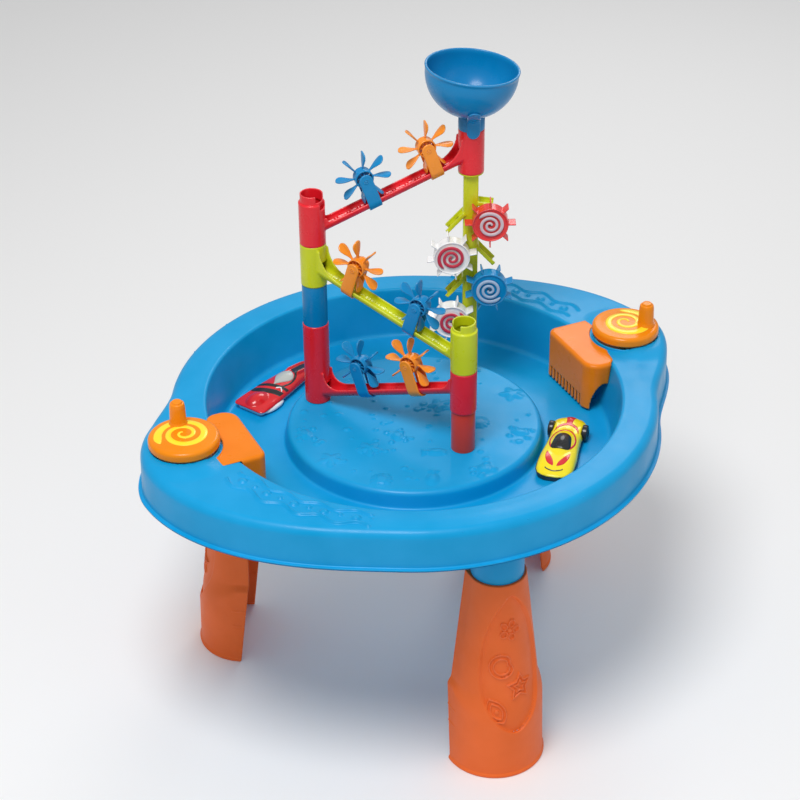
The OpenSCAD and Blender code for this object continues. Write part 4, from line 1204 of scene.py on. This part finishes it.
def painted(name, plan, top, slot, body, node, low, high, lift=0.4):
    """Thin raised colour field that follows the car's skin."""
    def field(x, y, z):
        t = top(x, y)
        return 0.8 * most(plan(x, y), z - t - lift, t - 1.2 - z)
    car_piece(name, field, low, high, 0.6, slot, body, node)


def crowned(spine, y, wide, drop):
    """Height of a body that is highest along its spine and falls away to its sides."""
    return 6.8 + (spine - 6.8) * (1 - drop * least(np.abs(y) / wide, 1) ** 2.6)


def hump(x, y, middle, length, aside, width):
    """Soft hump 1 high, one on each side when it stands aside from the middle line."""
    return np.exp(-((x - middle) / length) ** 2 - ((np.abs(y) - aside) / width) ** 2)


def bulge(plan, soft):
    """Rise of a canopy above the skin, from the distance inside its plan."""
    return 2.4 * np.sqrt(np.clip(-plan / soft, 0, 1))


def racer_wide(x):
    return np.interp(x, (-59, -54, -40, -20, 0, 30, 50, 59), (21, 23, 23, 21.5, 19.5, 15.5, 12.5, 9.5))


def racer_top(x, y):
    spine = np.interp(x, (-59, -50, -30, -10, 20, 45, 59), (8.8, 10, 12.5, 16, 17.5, 14.5, 12))
    top = crowned(spine, y, racer_wide(x), 0.62)
    dome = 6.8 + 10.5 * np.sqrt(most(1 - ((x + 40) / 17) ** 2 - (y / 12.5) ** 2, 0))
    dome = dome + 3.4 * hump(x, y, -36, 15, 18, 3.4)
    rails = 3.2 * ridge((np.abs(y) - 7.5) / 1.7, 0.8) * ease((x - 20) / 8)
    return smooth_max(top + rails, dome, 2.5)


def racer_field(x, y, z):
    sides = smooth_max(np.abs(y) - racer_wide(x) + 0.25 * (z - 6), np.abs(x) - CAR_HALF, 4)
    whole = smooth_max(sides, 0.8 * (z - racer_top(x, y)), 2.0)
    return 0.85 * smooth_max(whole, 6.4 - z, 0.8)


def racer_hull_field(x, y, z):
    plan = smooth_max(np.abs(y) - racer_wide(x) + 2.5, np.abs(x) - CAR_HALF + 2, 5)
    hull = smooth_max(plan + 0.35 * (6 - z), np.abs(z - 3.4) - 3.4, 1.2)
    floats = (np.hypot(np.hypot((x + 33) / 19, (np.abs(y) - 17.5) / 7.2), (z - 3.6) / 4.2) - 1) * 4
    return 0.85 * smooth_min(hull, floats, 1.0)


def racer_canopy_plan(x, y):
    u = np.clip((x + 10) / 34, 1e-3, 0.999)
    wide = 11 * np.sin(math.pi * u ** 1.5) ** 0.8
    return most(np.abs(y) - wide, -10 - x, x - 24)


def racer_canopy_field(x, y, z):
    plan = racer_canopy_plan(x, y)
    above = z - racer_top(x, y) - 0.4 - bulge(plan, 9.5)
    return 0.7 * smooth_max(plan, most(above, 15 - z), 0.6)


car_piece("racer_shell", racer_field, (-60, -25, 5), (60, 25, 22), 0.9,
          "racer_red", "racer", "racer_body")
car_piece("racer_float", racer_hull_field, (-59, -26, -0.6), (59, 26, 9), 0.9,
          "car_white", "racer", "racer_hull")
car_piece("racer_bubble", racer_canopy_field, (-12, -13, 13), (26, 13, 23.5), 0.6,
          "canopy_grey", "racer", "racer_canopy")


def racer_black_plan(x, y):
    lean = x + 0.3 * y
    bands = least(np.abs(lean + 22.5) - 4.0, np.abs(lean + 11.5) - 2.6)
    cockpit = most(bands, np.abs(y) - 18.5)
    ring = most(np.abs(np.hypot((x - 6) / 1.6, y) - 13) - 1.1, y - 1, -9 - x)
    slot = smooth_max(np.abs(y) - 5.2, np.abs(x - 41) - 14, 4)
    tail = most(np.abs(y + 8.2 - 0.24 * (x - 20)) - 0.9, np.abs(x - 28) - 8)
    return least(cockpit, ring, slot, tail)


def racer_chevron_plan(x, y):
    return most(np.abs(x + 9 + 0.9 * np.abs(y + 11)) - 1.1, np.abs(y + 11) - 4.5)


painted("racer_black_trim", racer_black_plan, racer_top, "car_black", "racer", "racer_canopy",
        (-31, -20, 5), (57, 20, 21))
painted("racer_chevron", racer_chevron_plan, racer_top, "car_white", "racer", "racer_hull",
        (-20, -18, 5), (0, -4, 21), 0.6)


def coupe_wide(x):
    return np.interp(x, (-59, -57, -53, -46, -36, -20, 0, 18, 34, 48, 56, 59),
                     (7, 13.5, 18.5, 21.2, 22.2, 22, 20, 19, 20, 20.5, 18.5, 15))


def coupe_top(x, y):
    spine = np.interp(x, (-59, -50, -40, -25, -5, 12, 30, 50, 59),
                      (8.5, 11.5, 13.5, 15.5, 17.5, 18, 16.5, 15.5, 13))
    top = crowned(spine, y, most(coupe_wide(x), 1), 0.55)
    cabin = 6.8 + 14.0 * np.sqrt(most(1 - ((x - 2) / 31) ** 2 - (y / 16.5) ** 2, 0))
    fenders = 2.6 * hump(x, y, 38, 13, 15.5, 5.5) + 1.8 * hump(x, y, -32, 14, 15, 6)
    tail = 2.2 * hump(x, y, 52, 9, 0, 6.5)
    return smooth_max(top + fenders + tail, cabin, 3)


def coupe_field(x, y, z):
    end = CAR_HALF - 4 * (1 - np.exp(-((np.abs(y) - 11) / 4) ** 2)) * (np.abs(y) > 8) * (x > 0)
    sides = smooth_max(np.abs(y) - coupe_wide(x) + 0.22 * (z - 6), np.abs(x) - end, 4)
    whole = smooth_max(sides, 0.8 * (z - coupe_top(x, y)), 2.2)
    well = rod_field(np.hypot(x - COUPE_AXLE_X, z - 9), np.abs(y) - 21, 10.6, 4.6, 0.5)
    whole = smooth_max(whole, -well, 0.8)
    return 0.85 * smooth_max(whole, 6.2 - z, 0.8)


def coupe_hull_field(x, y, z):
    plan = smooth_max(np.abs(y) - coupe_wide(x) - 0.4, np.abs(x) - CAR_HALF, 5)
    wheels = np.hypot(x - COUPE_AXLE_X, z - 9.5) - 10.4
    hull = smooth_max(plan + 0.3 * (7 - z), np.abs(z - 3.9) - 3.7, 1.2)
    return 0.85 * most(hull, -most(wheels, 15.4 - np.abs(y)))


def coupe_canopy_field(x, y, z):
    plan = smooth_max(np.abs(y) - 10.6 + 0.14 * (x + 1), np.abs(x + 1) - 15, 9)
    above = z - coupe_top(x, y) - 0.5 - bulge(plan, 8)
    return 0.7 * smooth_max(plan, most(above, 16 - z), 0.6)


car_piece("coupe_shell", coupe_field, (-60, -25, 5), (60, 25, 25), 0.9,
          "coupe_yellow", "coupe", "coupe_body")
car_piece("coupe_chassis", coupe_hull_field, (-60.5, -24.5, -0.6), (60.5, 24.5, 9), 0.9,
          "car_black", "coupe", "coupe_hull")
car_piece("coupe_windows", coupe_canopy_field, (-20, -15, 14), (18, 15, 26), 0.6,
          "car_black", "coupe", "coupe_canopy")


def leaf(x, y, tip, root, wide):
    """Pointed leaf between two points."""
    (x0, y0), (x1, y1) = tip, root
    length = math.hypot(x1 - x0, y1 - y0)
    c, s = (x1 - x0) / length, (y1 - y0) / length
    u, v = (x - x0) * c + (y - y0) * s, -(x - x0) * s + (y - y0) * c
    t = np.clip(u / length, 0, 1)
    bend = 1.6 * np.sin(math.pi * t)
    return most(np.abs(v - bend) - wide * np.sin(math.pi * t ** 0.8), -u, u - length)


def coupe_red_plan(x, y):
    side = np.abs(y)
    ring = most(np.abs(np.hypot((x - 3) / 1.5, y) - 14.4) - 1.0, -13 - x)
    eye, slit = leaf(x, side, (-44, 2.2), (-19, 13.6), 3.8), leaf(x, side, (-43, 4.5), (-30, 13.0), 1.0)
    patch = smooth_max(side - 3.6 - 0.012 * (x - 42) ** 2, np.abs(x - 47) - 10, 2)
    width = 1.5 * ease((x - 16) / 22)
    tails = most(np.abs(np.hypot((x - 14) / 1.7, y) - 15) - width, 16 - x, x - 41)
    return least(ring, eye, slit, patch, tails)


def coupe_nose_plan(x, y):
    behind = 100 * (x > -36)
    return most(np.abs(np.hypot(x + 36, y) - 15.5) - 0.75, np.abs(y) - 10.5 + behind)


painted("coupe_red_trim", coupe_red_plan, coupe_top, "racer_red", "coupe", "coupe_body",
        (-46, -20, 5), (58, 20, 24), 0.35)
painted("coupe_nose_line", coupe_nose_plan, coupe_top, "car_black", "coupe", "coupe_hull",
        (-54, -12, 5), (-40, 12, 18), 0.4)
tyre = fillet([(0, 0.6), (4, 0.6), (4.6, -0.4), (6, -0.4), (6.6, 0.2), (9.4, 0.2), (9.5, 6.3), (7, 6.6),
               (0, 6.6)], [0, 0.3, 0.4, 0.4, 0.5, 1.2, 1.2, 0.5, 0], 4)
wheels = []
for side in (-1, 1):
    tilt = Matrix.Rotation(math.radians(90 * side), 4, "X")
    at = Matrix.Translation((COUPE_AXLE_X, side * 23.2, 9.6))
    wheels.append(placed(lathe(tyre, 48), at @ tilt))
add_piece("coupe_tyres", placed(joined(wheels), CAR_AT["coupe"]), "car_black", "coupe", ["coupe_wheels"])

# ---------------------------------------------------------------- inner works, shown as built

SLOT_OF = {part["node"]: part["material_slot"] for part in frame["record"]["subparts"]}
INNER = ["drive_screws", "wheel_pins"]
for side in ("right", "left"):
    INNER += [f"drive_base_{side}", f"crank_gear_{side}", f"impeller_{side}", f"impeller_pinion_{side}"]
for node in INNER:
    shown = frame["nodes"][node]
    shown.data.materials.clear()
    shown.data.materials.append(paint_for(SLOT_OF[node]))
